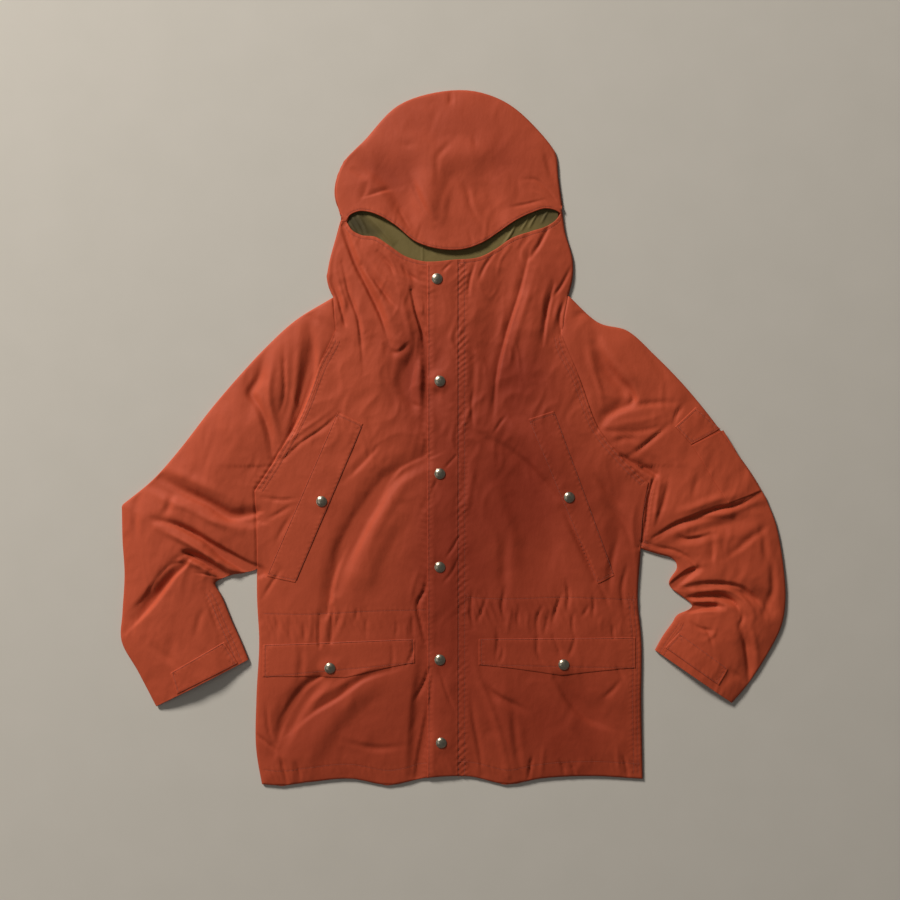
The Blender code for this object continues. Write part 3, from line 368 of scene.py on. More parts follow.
HOOD_CREASES = (
    (((-64, 386), (-52, 353), (-42, 333), (-29, 314)), 7, 4, -2.4, 0.3, 0.1, 0.5),
    (((-51, 378), (-41, 352), (-26, 320)), 7, 9, 1.1, 0.8, 0.1, 0.4),
    (((6, 436), (-10, 421), (-22, 408), (-23, 386), (-25, 366)), 8, 8, -1.4, 0.6, 0.1, 0.3),
    (((-1, 375), (-10, 346), (-16, 314)), 8, 8, 1.0, 0.8, 0.1, 0.4),
    (((3, 381), (20, 363), (26, 337), (45, 304)), 6, 10, -2.1, 0.4, 0.1, 0.2),
    (((41, 378), (45, 352), (59, 323)), 10, 10, 0.8, 0.9, 0.1, 0.2),
    (((-132, 349), (-112, 355), (-90, 362), (-72, 365)), 9, 4, -1.8, 0.3, 0.2, 0.2),
    (((-154, 395), (-139, 388), (-123, 375)), 5, 12, -1.4, 0.5, 0.2, 0.2),
    (((-123, 375), (-126, 360), (-133, 346)), 5, 12, -1.3, 0.5, 0.2, 0.2),
    (((-80, 334), (-74, 323), (-65, 308)), 4, 5, -1.3, 0.4, 0.1, 0.5),
    (((-51, 291), (-48, 302), (-45, 314)), 4, 4, -1.0, 0.4, 0.6, 0.1),
    (((19, 302), (25, 294), (28, 282)), 4, 4, -1.0, 0.4, 0.1, 0.6),
    (((68, 308), (74, 302), (75, 294)), 4, 4, -1.0, 0.4, 0.1, 0.6),
    (((99, 375), (119, 375), (133, 365), (148, 347)), 5, 6, -1.2, 0.4, 0.2, 0.6),
    (((77, 334), (103, 339), (132, 346)), 4, 6, -1.2, 0.4, 0.1, 0.3),
    (((109, 360), (126, 353), (141, 339)), 5, 5, 0.5, 0.5, 0.1, 0.4),
    (((132, 418), (138, 397), (144, 375)), 12, 7, -1.4, 0.8, 0.1, 0.3),
    (((-106, 462), (-126, 440), (-144, 418)), 9, 14, -1.3, 0.8, 0.1, 0.2),
    (((29, 436), (32, 428), (33, 421)), 4, 4, -1.0, 0.7, 0.3, 0.3),
    (((-84, 433), (-65, 424), (-51, 428)), 8, 8, -0.8, 0.9, 0.1, 0.1),
    (((-132, 323), (-115, 326), (-94, 318)), 7, 7, 0.6, 0.8, 0.2, 0.2),
    (((-4, 502), (-3, 494), (-4, 482)), 5, 5, -2.4, 0.5, 1.0, 0.1),
)
RIGHT_SLEEVE_CREASES = (
    (((-206, 163), (-203, 125), (-206, 85), (-218, 51), (-232, 9)), 6, 15, -7.1, 0.4, 0.3, 0.3),
    (((-222, 165), (-223, 128), (-226, 85), (-233, 41), (-242, 9)), 9, 9, 2.8, 0.8, 0.2, 0.2),
    (((-245, 146), (-244, 105), (-245, 56), (-251, 36)), 4, 6, -3.1, 0.3, 0.1, 0.2),
    (((-271, 128), (-283, 85), (-294, 65), (-283, 49), (-268, 12), (-261, -33)),
     12, 9, -4.7, 0.5, 0.2, 0.3),
    (((-257, 125), (-264, 88), (-265, 53), (-254, 12), (-249, -11)), 8, 8, 2.2, 0.8, 0.1, 0.2),
    (((-233, 67), (-228, 50), (-225, 30)), 5, 5, 1.8, 0.6, 0.2, 0.2),
    (((-425, -57), (-390, -78), (-355, -95), (-323, -114), (-286, -109)), 17, 7, -8.4, 0.5, 0.5, 0.5),
    (((-420, -40), (-384, -57), (-349, -73), (-315, -88)), 12, 8, 2.2, 0.8, 0.2, 0.1),
    (((-416, -89), (-381, -96), (-347, -115), (-309, -133)), 12, 12, 3.6, 0.9, 0.2, 0.3),
    (((-407, -78), (-410, -96), (-419, -115)), 8, 9, -2.8, 0.7, 0.2, 0.2),
    (((-432, -118), (-403, -125), (-371, -141), (-335, -165), (-304, -185), (-286, -199)),
     11, 6, -12.4, 0.3, 0.2, 1.0),
    (((-428, -128), (-396, -143), (-362, -163), (-335, -181), (-315, -194)), 8, 9, 5.0, 0.7, 0.2, 0.7),
    (((-387, -166), (-367, -175), (-351, -189), (-332, -204)), 9, 5, -10.1, 0.3, 0.5, 1.0),
    (((-384, -178), (-368, -183), (-352, -192), (-339, -201)), 5, 9, 3.6, 0.6, 0.6, 0.6),
    (((-386, -178), (-405, -181), (-428, -202), (-451, -234), (-470, -252)), 9, 3, -2.5, 0.25, 0.6, 0.1),
    (((-384, -181), (-405, -202), (-426, -230), (-460, -268), (-476, -283)), 3, 24, -6.5, 0.5, 0.7, 0.1),
    (((-387, -172), (-407, -185), (-431, -208), (-448, -231)), 14, 6, 2.4, 0.8, 0.6, 0.1),
    (((-355, -156), (-329, -173), (-300, -189), (-283, -196)), 15, 7, -17.1, 0.6, 0.2, 1.0),
    (((-380, -170), (-361, -179), (-344, -192), (-329, -204)), 12, 5, -14.0, 0.6, 0.4, 1.0),
    (((-373, -194), (-347, -199), (-329, -207)), 2, 3, -1.6, 0.4, 0.4, 0.8),
    (((-360, -220), (-347, -257), (-335, -292)), 5, 5, -1.6, 0.6, 0.1, 0.1),
    (((-439, -292), (-418, -314), (-399, -327)), 10, 10, -1.6, 0.9, 0.1, 0.1),
    (((-373, -292), (-367, -263), (-358, -240)), 8, 8, -1.4, 0.9, 0.1, 0.1),
    (((-451, -60), (-460, -104), (-457, -154)), 9, 9, -1.9, 0.9, 0.1, 0.1),
)
LEFT_SLEEVE_CREASES = (
    (((209, 149), (218, 114), (239, 88), (258, 67), (262, 57), (242, 43), (222, 31), (213, 15)),
     7, 17, -6.8, 0.5, 0.3, 0.4),
    (((196, 143), (202, 105), (213, 67), (216, 44)), 7, 6, 2.2, 0.8, 0.2, 0.2),
    (((222, 136), (236, 111), (257, 88), (271, 67)), 10, 9, 2.0, 0.9, 0.2, 0.2),
    (((215, 21), (236, 37), (267, 47), (300, 51), (335, 51)), 8, 5, -2.9, 0.4, 0.6, 0.1),
    (((216, 15), (245, 21), (280, 27), (312, 38)), 6, 6, 1.3, 0.8, 0.5, 0.1),
    (((218, 11), (245, 9), (280, 12), (312, 21)), 6, 5, -2.5, 0.4, 0.6, 0.1),
    (((249, -30), (271, -14), (293, 4), (318, 25)), 5, 7, -3.4, 0.4, 0.4, 0.1),
    (((231, -5), (251, 1), (271, -2)), 5, 9, -2.8, 0.6, 0.4, 0.1),
    (((245, -25), (262, -36), (277, -43), (294, -53)), 6, 6, -7.1, 0.3, 0.4, 0.8),
    (((251, -17), (274, -31), (300, -46)), 8, 5, 1.8, 0.8, 0.2, 0.2),
    (((335, 50), (325, 38), (318, 21)), 5, 5, -2.8, 0.4, 0.2, 0.4),
    (((290, -60), (283, -89), (280, -118), (274, -154)), 5, 5, -4.0, 0.3, 0.8, 0.4),
    (((300, -60), (294, -96), (289, -133)), 7, 5, 2.2, 0.6, 0.5, 0.2),
    (((312, -57), (306, -89), (294, -125)), 6, 6, -2.5, 0.5, 0.2, 0.2),
    (((290, -144), (322, -124), (355, -111), (384, -101), (410, -96), (445, -79)),
     5, 9, -6.8, 0.25, 0.3, 0.3),
    (((294, -153), (329, -133), (364, -121), (402, -112), (441, -107)), 9, 12, 3.4, 0.9, 0.2, 0.2),
    (((312, -112), (344, -101), (378, -89), (416, -80)), 10, 8, 2.2, 0.8, 0.1, 0.2),
    (((322, -134), (332, -144), (352, -144), (374, -138)), 5, 12, -4.0, 0.5, 0.2, 0.3),
    (((374, -138), (376, -162), (373, -185)), 5, 14, -2.8, 0.5, 0.3, 0.1),
    (((390, -176), (412, -160), (434, -143), (463, -123)), 12, 6, -2.5, 0.6, 0.1, 0.1),
    (((273, -149), (297, -157), (323, -163), (344, -176), (354, -196)), 4, 5, -3.1, 0.3, 0.5, 0.3),
    (((273, -156), (300, -166), (326, -172)), 4, 4, 1.6, 0.5, 0.5, 0.3),
    (((329, -217), (355, -211), (390, -210), (419, -217), (439, -234), (451, -257)),
     6, 14, -5.0, 0.5, 0.4, 0.3),
    (((323, -223), (364, -220), (399, -221), (422, -234), (434, -254), (431, -272)),
     6, 8, 3.6, 0.8, 0.3, 0.2),
    (((335, -233), (361, -227), (390, -228), (410, -240), (416, -257)), 4, 10, -10.8, 0.4, 0.4, 0.1),
    (((320, -225), (344, -234), (376, -239)), 5, 4, 2.6, 0.6, 0.3, 0.3),
    (((344, -247), (358, -244), (373, -243), (390, -244)), 8, 8, -15.5, 0.4, 1.0, 0.2),
    (((355, -188), (341, -196), (326, -208), (315, -217)), 9, 8, -18.6, 0.4, 0.2, 1.0),
    (((413, -243), (419, -257), (413, -275)), 5, 5, -2.8, 0.5, 0.2, 0.2),
    (((460, -176), (463, -220), (451, -252)), 9, 9, -3.1, 0.7, 0.1, 0.3),
    (((413, -266), (422, -292), (428, -323), (431, -353)), 4, 7, -4.3, 0.25, 0.2, 0.7),
    (((428, -266), (436, -295), (441, -324)), 7, 7, 2.0, 0.8, 0.2, 0.3),
    (((361, -269), (370, -283), (376, -304)), 5, 5, -2.0, 0.5, 0.1, 0.2),
    (((381, -266), (376, -283), (364, -292)), 5, 5, 1.2, 0.6, 0.1, 0.2),
    (((399, -333), (413, -344), (425, -356)), 4, 7, -1.9, 0.5, 0.3, 0.2),
    (((344, -266), (358, -275), (380, -278)), 5, 5, -2.2, 0.5, 0.2, 0.1),
    (((387, 157), (358, 128), (329, 96)), 12, 12, -1.2, 0.9, 0.0, 0.0),
    (((271, 136), (294, 111), (312, 79)), 10, 10, -1.6, 0.9, 0.1, 0.1),
    (((358, -46), (349, -72), (344, -96)), 7, 7, -1.9, 0.7, 0.1, 0.1),
    (((445, -118), (451, -154), (452, -191)), 9, 9, -1.9, 0.9, 0.1, 0.1),
)

LINING_CREASES = (
    (((-153, 318), (-147, 309), (-139, 298)), 3, 3, 2.0, 0.4, 0, 0),
    (((-147, 323), (-139, 311), (-131, 296)), 3, 3, 1.8, 0.3, 0, 0),
    (((-140, 326), (-132, 314), (-124, 298)), 3.5, 3, 2.0, 0.3, 0, 0),
    (((-132, 324), (-112, 302), (-92, 278)), 3, 12, -1.8, 0.3, 0, 0),
    (((-126, 326), (-106, 304), (-86, 280)), 14, 3, 2.2, 0.5, 0, 0),
    (((-46, 300), (-44, 270), (-46, 240)), 2, 2, 0.9, 0.6, 0, 0),
    (((94, 322), (86, 300), (72, 280)), 3, 4, 1.6, 0.4, 0, 0),
    (((112, 328), (106, 314), (98, 300)), 3, 3, 1.4, 0.4, 0, 0),
    (((126, 333), (118, 320), (110, 304)), 3, 3, 1.6, 0.4, 0, 0),
    (((140, 334), (134, 324), (128, 312)), 3, 3, 1.4, 0.4, 0, 0),
    (((60, 300), (40, 286), (10, 276)), 8, 8, 0.8, 0.9, 0, 0),
)
CREASES = [Crease(*row) for row in (
    *BROAD_FOLDS, *NECK_CREASES, *BODY_CREASES, *SKIRT_CREASES, *WAIST_GATHERS, *HOOD_CREASES,
    *RIGHT_SLEEVE_CREASES, *LEFT_SLEEVE_CREASES,
)]

# ---------------------------------------------------------------- flaps, pockets and tabs, sewn edge first
FLAPS = {
    "chest_flap_right": ((-167, 38), (-270, -200), (-228, -209), (-130, 21)),
    "chest_flap_left": ((146, 40), (234, -199), (210, -211), (109, 28)),
    "lower_flap_right": ((-55, -290), (-276, -299), (-276, -346), (-55, -325)),
    "lower_flap_left": ((265, -288), (37, -290), (37, -328), (265, -333)),
    "cuff_tab_right": ((-331, -294), (-409, -339), (-399, -370), (-311, -326)),
    "cuff_tab_left": ((398, -333), (327, -281), (307, -303), (384, -357)),
    "sleeve_pocket_flap": ((352, 46), (320, 17), (344, -9), (388, 14)),
}
# How far the free edge of a pocket flap comes down to a point at its snap
FLAP_POINT = {"lower_flap_right": (0.46, 12), "lower_flap_left": (0.47, 13)}
SLEEVE_POCKET = ((392, 12), (345, -10), (397, -94), (447, -76))

SNAPS = (
    Snap(-23, 231, "snap_front_1"), Snap(-19, 83, "snap_front_2"), Snap(-19, -51, "snap_front_3"),
    Snap(-19, -186, "snap_front_4"), Snap(-19, -320, "snap_front_5"), Snap(-17, -440, "snap_front_6"),
    Snap(-190, -91, "snap_chest_right"), Snap(168, -85, "snap_chest_left"),
    Snap(-178, -332, "snap_lower_right"), Snap(160, -327, "snap_lower_left"),
)


# ---------------------------------------------------------------- curves
def smooth_through(at, values, where):
    """Cubic Hermite interpolation, with the slope at each knot from its neighbours."""
    at, values = np.asarray(at, float), np.asarray(values, float)
    slope = np.gradient(values, at)
    index = np.clip(np.searchsorted(at, where, side="right") - 1, 0, len(at) - 2)
    span = at[index + 1] - at[index]
    t = (where - at[index]) / span
    start = (2 * t**3 - 3 * t**2 + 1) * values[index] + (t**3 - 2 * t**2 + t) * span * slope[index]
    end = (3 * t**2 - 2 * t**3) * values[index + 1] + (t**3 - t**2) * span * slope[index + 1]
    return start + end


def run_to(points):
    """How far along a polyline each of its points lies."""
    return np.concatenate([[0.0], np.cumsum(np.linalg.norm(np.diff(points, axis=0), axis=1))])


def along(points, share):
    """Points of a smooth curve through `points`, at shares of its length from 0 to 1."""
    knots = np.array(points, float)
    at = run_to(knots)
    where = np.clip(np.asarray(share, float), 0.0, 1.0) * at[-1]
    return np.stack([smooth_through(at, knots[:, axis], where) for axis in range(2)], axis=-1)


def polyline(points, count, last=1.0):
    """A smooth curve through `points`, up to a share of its length, as `count` points."""
    return along(points, np.linspace(0, last, count))


def length_of(points):
    return float(run_to(polyline(points, 60))[-1])


def offset_line(line, off):
    """A polyline moved to its left by `off`."""
    step = np.gradient(line, axis=0)
    step /= np.linalg.norm(step, axis=1)[:, None]
    return line + off * np.stack([-step[:, 1], step[:, 0]], axis=-1)


def even(points, start=0.0, end=1.0, step=3.0):
    """A smooth curve through `points`, between two shares of its length, as a polyline of even steps."""
    count = max(3, int(length_of(points) * (end - start) / step))
    return along(points, np.linspace(start, end, count))


def height_of_edge(points, x):
    """How far up the garment an edge that runs across it lies at `x`."""
    across = np.array(points, float)
    return smooth_through(across[:, 0], across[:, 1], np.clip(x, across[0, 0], across[-1, 0]))


def up_the_front(x, low, high, step):
    """A polyline that runs straight up the front."""
    return np.array([(x, y) for y in np.arange(low, high, step)])


def beside_hem(up, step):
    """A polyline that follows the hem, `up` above it."""
    return np.array([(x, height_of_edge(HEM, x) + up) for x in np.arange(-HEM_HALF, HEM_HALF, step)])


def shares(length, step=CELL, first=True, last=True):
    """Shares of a length, a cell apart, with closer ones beside the edges that are folded."""
    start = [s for s in EDGE_STEPS if first]
    end = [length - s for s in EDGE_STEPS[::-1] if last]
    low = start[-1] if start else 0.0
    high = end[0] if end else length
    count = max(2, int(round((high - low) / step)))
    middle = np.linspace(low, high, count + 1)
    return np.array([*start[:-1], *middle, *end[1:]]) / length


def nearest_on(line, x, y):
    """For each point its distance to the line's left, below 0 to its right, and how far along that is.

    The length of the line comes last.
    """
    point = np.stack([x, y], axis=-1)
    best = np.full(len(point), 1e9)
    side = np.zeros(len(point))
    run = np.zeros(len(point))
    so_far = 0.0
    for start, end in zip(line[:-1], line[1:]):
        step = end - start
        length = np.hypot(*step)
        t = np.clip(((point - start) @ step) / length**2, 0.0, 1.0)
        away = point - start - t[:, None] * step
        gap = np.hypot(away[:, 0], away[:, 1])
        closer = gap < best
        turn = step[0] * away[:, 1] - step[1] * away[:, 0]
        best = np.where(closer, gap, best)
        side = np.where(closer, np.where(turn >= 0, gap, -gap), side)
        run = np.where(closer, so_far + t * length, run)
        so_far += length
    return side, run, so_far


def close_to(line, reach, x, y):
    """Marks the points in the box round a line that is larger than it by `reach`."""
    low, high = line.min(0) - reach, line.max(0) + reach
    return (x > low[0]) & (x < high[0]) & (y > low[1]) & (y < high[1])


def flat(plan):
    """x and y of every point of a plan, each as one row."""
    return plan[..., 0].ravel(), plan[..., 1].ravel()


def quarter_round(away, reach):
    """Rises as a quarter circle, from 0 at an edge to 1 at `reach` from it."""
    return np.sqrt(1 - (1 - np.clip(away / reach, 0.0, 1.0)) ** 2)


def ease(low, high, share):
    """From `low` to `high` as `share` goes from 0 to 1, level at both ends."""
    t = np.clip(share, 0.0, 1.0)
    return low + (high - low) * t**2 * (3 - 2 * t)


def sleeve_section(side, place):
    """Inner and outer point of a sleeve at `place`, counted in sections from the raglan seam."""
    table = np.array(SLEEVES[side], float)
    count = np.arange(len(table))
    elbow = SHARP_ELBOW[side]
    inner = [smooth_through(count, table[:, column], place) for column in (0, 1)]
    above = [smooth_through(count[:elbow + 1], table[:elbow + 1, column], place) for column in (2, 3)]
    below = [smooth_through(count[elbow:], table[elbow:, column], place) for column in (2, 3)]
    outer = np.where(np.asarray(place) < elbow, above, below)
    return np.stack(inner, axis=-1), np.moveaxis(outer, 0, -1)


def raglan_seam(side):
    """The points of the seam between body and sleeve, from the underarm to the shoulder."""
    return [*BODY_EDGE[side]["raglan"], *BODY_EDGE[side]["neck"][1:]]


def front_over_sleeve(side):
    """The edge of the front where a sleeve lies beneath it, from below the underarm to the shoulder."""
    edge = polyline(BODY_EDGE[side]["side"], 90)
    beside = edge[edge[:, 1] > SLEEVE_LEAVES[side]]
    return np.concatenate([beside[:-1], even(raglan_seam(side))])


# ---------------------------------------------------------------- height of the upper layer
def outer_edges():
    """The garment's folded edges as polylines."""
    lines = [polyline(HOOD_OUTLINE, 50), polyline(HEM, 30)]
    for side in OUTWARDS:
        edge = polyline(BODY_EDGE[side]["side"], 52)
        inner, outer = sleeve_section(side, np.linspace(0, len(SLEEVES[side]) - 1, 120))
        lines += [
            edge[edge[:, 1] < SLEEVE_LEAVES[side]], polyline(BODY_EDGE[side]["hood"], 14),
            inner[inner[:, 1] < SLEEVE_LEAVES[side]], outer,
        ]
    return lines


OUTER_EDGES = outer_edges()
# Sewn lines that draw the cloth up: the line, height of the ripples, their reach and their slant
PUCKERED = [
    (up_the_front(ROPE_X, -490, 256, 12.0), 0.55, 7.0, 0.55),
    (up_the_front(FLY_FREE_X - 4, -490, 256, 12.0), 0.4, 6.0, -0.3),
    (beside_hem(14, 12.0), 0.3, 12.0, 0.3),
    (polyline(raglan_seam("right"), 26, 0.8), 0.35, 8.0, 0.3),
    (polyline(raglan_seam("left"), 26, 0.8), 0.35, 8.0, -0.3),
    (np.array([(-274, -270), (-120, -268), (-42, -266)], float), 0.5, 16.0, 0.25),
    (np.array([(20, -250), (140, -250), (268, -252)], float), 0.6, 18.0, 0.25),
]


def edge_distance(x, y):
    """Distance of each point to the nearest folded edge, up to FAR."""
    distance = np.full(len(x), FAR)
    for line in OUTER_EDGES:
        near = close_to(line, FAR, x, y)
        if near.any():
            off = np.abs(nearest_on(line, x[near], y[near])[0])
            distance[near] = np.minimum(distance[near], off)
    return distance


def beside_crease(crease, side):
    """How much of a crease's rise is left at a distance to its side: 1 on its line and 0 at its reach."""
    u = np.clip(np.abs(side) / np.where(side > 0, crease.left, crease.right), 0.0, 1.0)
    return (1 - u) ** 2 * (1 + 2 * crease.soft * u)


def crease_relief(x, y):
    """Height that all the creases of the upper layer add at each point."""
    relief = np.zeros(len(x))
    for crease in CREASES:
        line = polyline(crease.points, 6 * len(crease.points))
        near = close_to(line, max(crease.left, crease.right), x, y)
        if near.any():
            side, run, length = nearest_on(line, x[near], y[near])
            t = run / length
            grow = ease(crease.start, 1.0, t / CREASE_GROWS)
            fade = ease(crease.end, 1.0, (1 - t) / CREASE_GROWS)
            relief[near] += crease.rise * beside_crease(crease, side) * grow * fade
    return relief


def crumple(x, y):
    """Small dents and ridges of cloth that was worn and folded, most of them on chest and neck."""
    chest = np.exp(-(((y - CHEST_Y) / CHEST_TALL) ** 4)) * np.exp(-((x / CHEST_WIDE) ** 4))
    sleeves = np.clip((np.abs(x) - 280) / 40, 0.0, 1.0) * 0.5
    places = zip(x * CRUMPLE_X, y * CRUMPLE_Y, 0.35 + 0.65 * chest + sleeves)
    heights = np.empty(len(x))
    for index, (px, py, busy) in enumerate(places):
        warp = noise.noise(Vector((py * 1.7, px * 1.7, 4.2)))
        broad = noise.noise(Vector((px + 0.8 * warp, py - 0.6 * warp, 0.0)))
        fold = abs(noise.noise(Vector((px * 2.2 + 1.5 * warp, py * 1.8, 9.0))))
        fine = abs(noise.noise(Vector((px * 4.6 - py * 1.5, py * 3.4 + 2.0 * warp, 5.0))))
        heights[index] = 1.4 * broad - busy * (1.9 * fold + 0.6 * fine) + 0.5
    return heights


def puckers(x, y):
    """Cloth that the sewing has drawn up into short slanting ripples."""
    relief = np.zeros(len(x))
    for line, height, reach, slant in PUCKERED:
        near = close_to(line, 3 * reach, x, y)
        if near.any():
            off, run, _ = nearest_on(line, x[near], y[near])
            uneven = np.sin(run * 0.021 + 1.0) + np.sin(run * 0.053 + off * 0.02)
            wave = np.sin(run * 0.62 + off * slant + 2.2 * uneven)
            relief[near] += height * (0.6 + 0.3 * uneven) * wave * np.exp(-((off / reach) ** 2))
    return relief


def sleeve_puff(x, y, distance):
    """The sleeves hold more air than the fronts."""
    beyond = np.zeros(len(x))
    for side, sign in OUTWARDS.items():
        off, _, _ = nearest_on(polyline(raglan_seam(side), 30), x, y)
        outside = np.where(y > UNDERARM_Y, off * -sign, sign * x - BODY_SIDE_X)
        beyond = np.maximum(beyond, np.clip(outside / PUFF_GROWS, 0.0, 1.0) * (sign * x > NECK_SIDE_X))
    return SLEEVE_PUFF * beyond * (1 - np.exp(-distance / PUFF_EDGE))


def press_at_snaps(x, y, height):
    """A snap holds the cloth at the level of its seat."""
    for snap in SNAPS:
        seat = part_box(snap.node)[0].z / MM - (FLY_RISE if "front" in snap.node else FLAP_RISE)
        far = np.hypot(x - snap.x, y - snap.y)
        hold = np.exp(-((far / SNAP_HOLD) ** 4))
        height = height * (1 - hold) + (seat - SNAP_SINK) * hold
    return height


def cloth_top(x, y):
    """Height of the upper face of the upper layer, over the whole garment."""
    shape = np.shape(x)
    x, y = np.ravel(x).astype(float), np.ravel(y).astype(float)
    distance = edge_distance(x, y)
    round_edge = quarter_round(distance, EDGE_ROUND)
    loft = BODY_LOFT * (1 - np.exp(-distance / LOFT_REACH)) + sleeve_puff(x, y, distance)
    base = EDGE_LEVEL + (EDGE_TOP - EDGE_LEVEL) * round_edge + loft
    inside = 1 - np.exp(-distance / CREASE_FADE)
    height = base + (crease_relief(x, y) + crumple(x, y)) * inside + puckers(x, y)
    height = press_at_snaps(x, y, height)
    # Deep creases flatten out softly on the lower layer
    spare = height - LOWEST - 0.3 * round_edge
    height = height - spare + (spare + np.sqrt(spare**2 + 1.0)) / 2
    return height.reshape(shape)


def over(plan):
    """Height of the upper face over a plan."""
    return cloth_top(plan[..., 0], plan[..., 1])


def turned_up(plan):
    """How far the lower cloth has turned up over a plan: 1 on a folded edge and 0 well inside it."""
    return 1 - quarter_round(edge_distance(*flat(plan)).reshape(plan.shape[:2]), TURN)


def on_floor(plan):
    """Height of cloth that lies on the floor and turns up to meet the upper layer."""
    return BACK_LEVEL + FLOOR_GAP + (EDGE_LEVEL - BACK_LEVEL) * turned_up(plan)


# ---------------------------------------------------------------- cloth from grids of points
def mesh_of(name, shape):
    """Makes a mesh of a bmesh that is finished."""
    mesh = bpy.data.meshes.new(name)
    shape.to_mesh(mesh)
    shape.free()
    return mesh


def in_scene(name, data):
    piece = bpy.data.objects.new(name, data)
    bpy.context.scene.collection.objects.link(piece)
    return piece


def grid_of(name, plan, height):
    """An open sheet from rows of plan points and their heights."""
    rows, columns = height.shape
    grid = bmesh.new()
    bmesh.ops.create_grid(grid, x_segments=columns - 1, y_segments=rows - 1, size=1.0)
    mesh = mesh_of(name, grid)
    places = np.concatenate([plan, height[..., None]], axis=-1).reshape(-1, 3) * MM
    mesh.vertices.foreach_set("co", places.astype(np.float32).ravel())
    mesh.update()
    return in_scene(name, mesh)


def facing_up(piece, above=0.0, join=False):
    """Turns a piece's faces so that those higher than `above` look up. `join` closes its seam first."""
    cloth = bmesh.new()
    cloth.from_mesh(piece.data)
    if join:
        bmesh.ops.remove_doubles(cloth, verts=cloth.verts[:], dist=JOIN)
        bmesh.ops.recalc_face_normals(cloth, faces=cloth.faces[:])
    upper = [face for face in cloth.faces if face.calc_center_median().z > above]
    if sum(face.normal.z * face.calc_area() for face in upper) < 0:
        bmesh.ops.reverse_faces(cloth, faces=cloth.faces[:])
    cloth.to_mesh(piece.data)
    cloth.free()
    return piece


def walled(piece, wall):
    """Gives a sheet its thickness, below or inside its outer face."""
    solid = piece.modifiers.new("wall", "SOLIDIFY")
    solid.thickness = wall * MM
    solid.offset = -1.0
    solid.use_even_offset = False
    return piece


def smooth(piece):
    piece.data.polygons.foreach_set("use_smooth", [True] * len(piece.data.polygons))
    return piece


def panel(name, plan, height, wall=SHELL_WALL):
    """A panel of cloth whose upper face has these heights."""
    return walled(smooth(facing_up(grid_of(name, plan, height))), wall)


# ---------------------------------------------------------------- marks that the finish reads
# Shade painted into the shell's colour where the coat lies in soft shadow or turns away from the light:
# middle, reach across and up, and how much.
PAINTED_SHADE = (
    (110, -60, 110, 120, 0.85), (70, -250, 150, 120, 0.45), (-10, -120, 60, 300, 0.45),
    (160, -420, 140, 110, 0.65), (-150, -430, 170, 100, 0.5), (-60, 90, 40, 80, 0.5),
    (-130, -200, 120, 140, 0.15), (70, 120, 70, 100, 0.4), (250, -150, 60, 120, 0.35),
    (-95, 380, 46, 30, 0.4), (80, 402, 46, 34, 0.25), (-20, 460, 120, 46, 0.25),
    (115, 95, 60, 45, 0.35), (140, 240, 40, 60, 0.2),
)
# Shade painted into the lining's colour in the dark corners of the face opening and under the brim, in the
# same columns.
PAINTED_LINING_SHADE = (
    (-143, 313, 20, 22, 0.9), (-118, 300, 16, 12, 0.5), (140, 324, 26, 14, 0.6), (0, 300, 90, 30, 0.2),
)


# How much shade is painted at each point, from soft patches where the cloth lies in shadow.
def painted_shade_at(x, y, patches):
    depth = np.zeros(len(x))
    for middle_x, middle_y, across, up, much in patches:
        depth += much * np.exp(-(((x - middle_x) / across) ** 2) - ((y - middle_y) / up) ** 2)
    return np.clip(depth, 0.0, 1.0)


def seam_marks(piece, lines, patches=PAINTED_SHADE):
    """Stores for the finish how much shade is painted at each point, and each point's place beside the
    nearest sewn line.
    """
    count = len(piece.data.vertices)
    co = np.empty(count * 3)
    piece.data.vertices.foreach_get("co", co)
    x, y = co[0::3] / MM, co[1::3] / MM
    away, off, run = np.full(count, SEAM_FAR), np.full(count, SEAM_FAR), np.zeros(count)
    for line in lines:
        near = np.flatnonzero(close_to(line, SEAM_FAR, x, y))
        if len(near):
            side, along_it, _ = nearest_on(line, x[near], y[near])
            closer = np.abs(side) < away[near]
            away[near[closer]] = np.abs(side)[closer]
            off[near[closer]] = side[closer]
            run[near[closer]] = along_it[closer]
    for name, values in (("away", away), ("off", off), ("run", run), ("painted_shade", painted_shade_at(x, y, patches))):
        piece.data.attributes.new(name, "FLOAT", "POINT").data.foreach_set("value", values)


# ---------------------------------------------------------------- where the panels lie
COLUMNS = {
    ("side", ZIP_X): shares(RIGHT_WIDE, last=False),
    (ZIP_X, "side"): shares(LEFT_WIDE, first=False),
    (FLY_FREE_X, FLY_SEWN_X): shares(FLY_SEWN_X - FLY_FREE_X, FLY_CELL),
    ("side", "side"): shares(BACK_WIDE, BACK_CELL),
}


def body_plan(first_x, last_x):
    """Plan points between two places across the body, which are "side" or an x, from the hem up."""
    rows = []
    for stretch in STRETCHES:
        right_edge, left_edge = BODY_EDGE["right"][stretch], BODY_EDGE["left"][stretch]
        steps = shares(length_of(right_edge), first=stretch == "side", last=stretch == "hood")
        for share in steps if stretch == STRETCHES[-1] else steps[:-1]:
            right, left = along(right_edge, share), along(left_edge, share)
            low = right[0] if first_x == "side" else first_x
            high = left[0] if last_x == "side" else last_x
            x = low + (high - low) * COLUMNS[first_x, last_x]
            u = (x - right[0]) / (left[0] - right[0])
            y = right[1] + u * (left[1] - right[1])
            start = right_edge[0][1] + u * (left_edge[0][1] - right_edge[0][1])
            if stretch == "side":
                y += (height_of_edge(HEM, x) - start) * (1 - share) ** 2
            if stretch == "hood":
                y = start + share * (height_of_edge(FACE_OPENING_BELOW, x) - start)
            rows.append(np.stack([x, y], axis=-1))
    return np.array(rows)


def between(below, above, u, v):
    """Plan points between two edges that run the same way."""
    v = np.asarray(v)[:, None, None]
    return (1 - v) * along(below, u) + v * along(above, u)


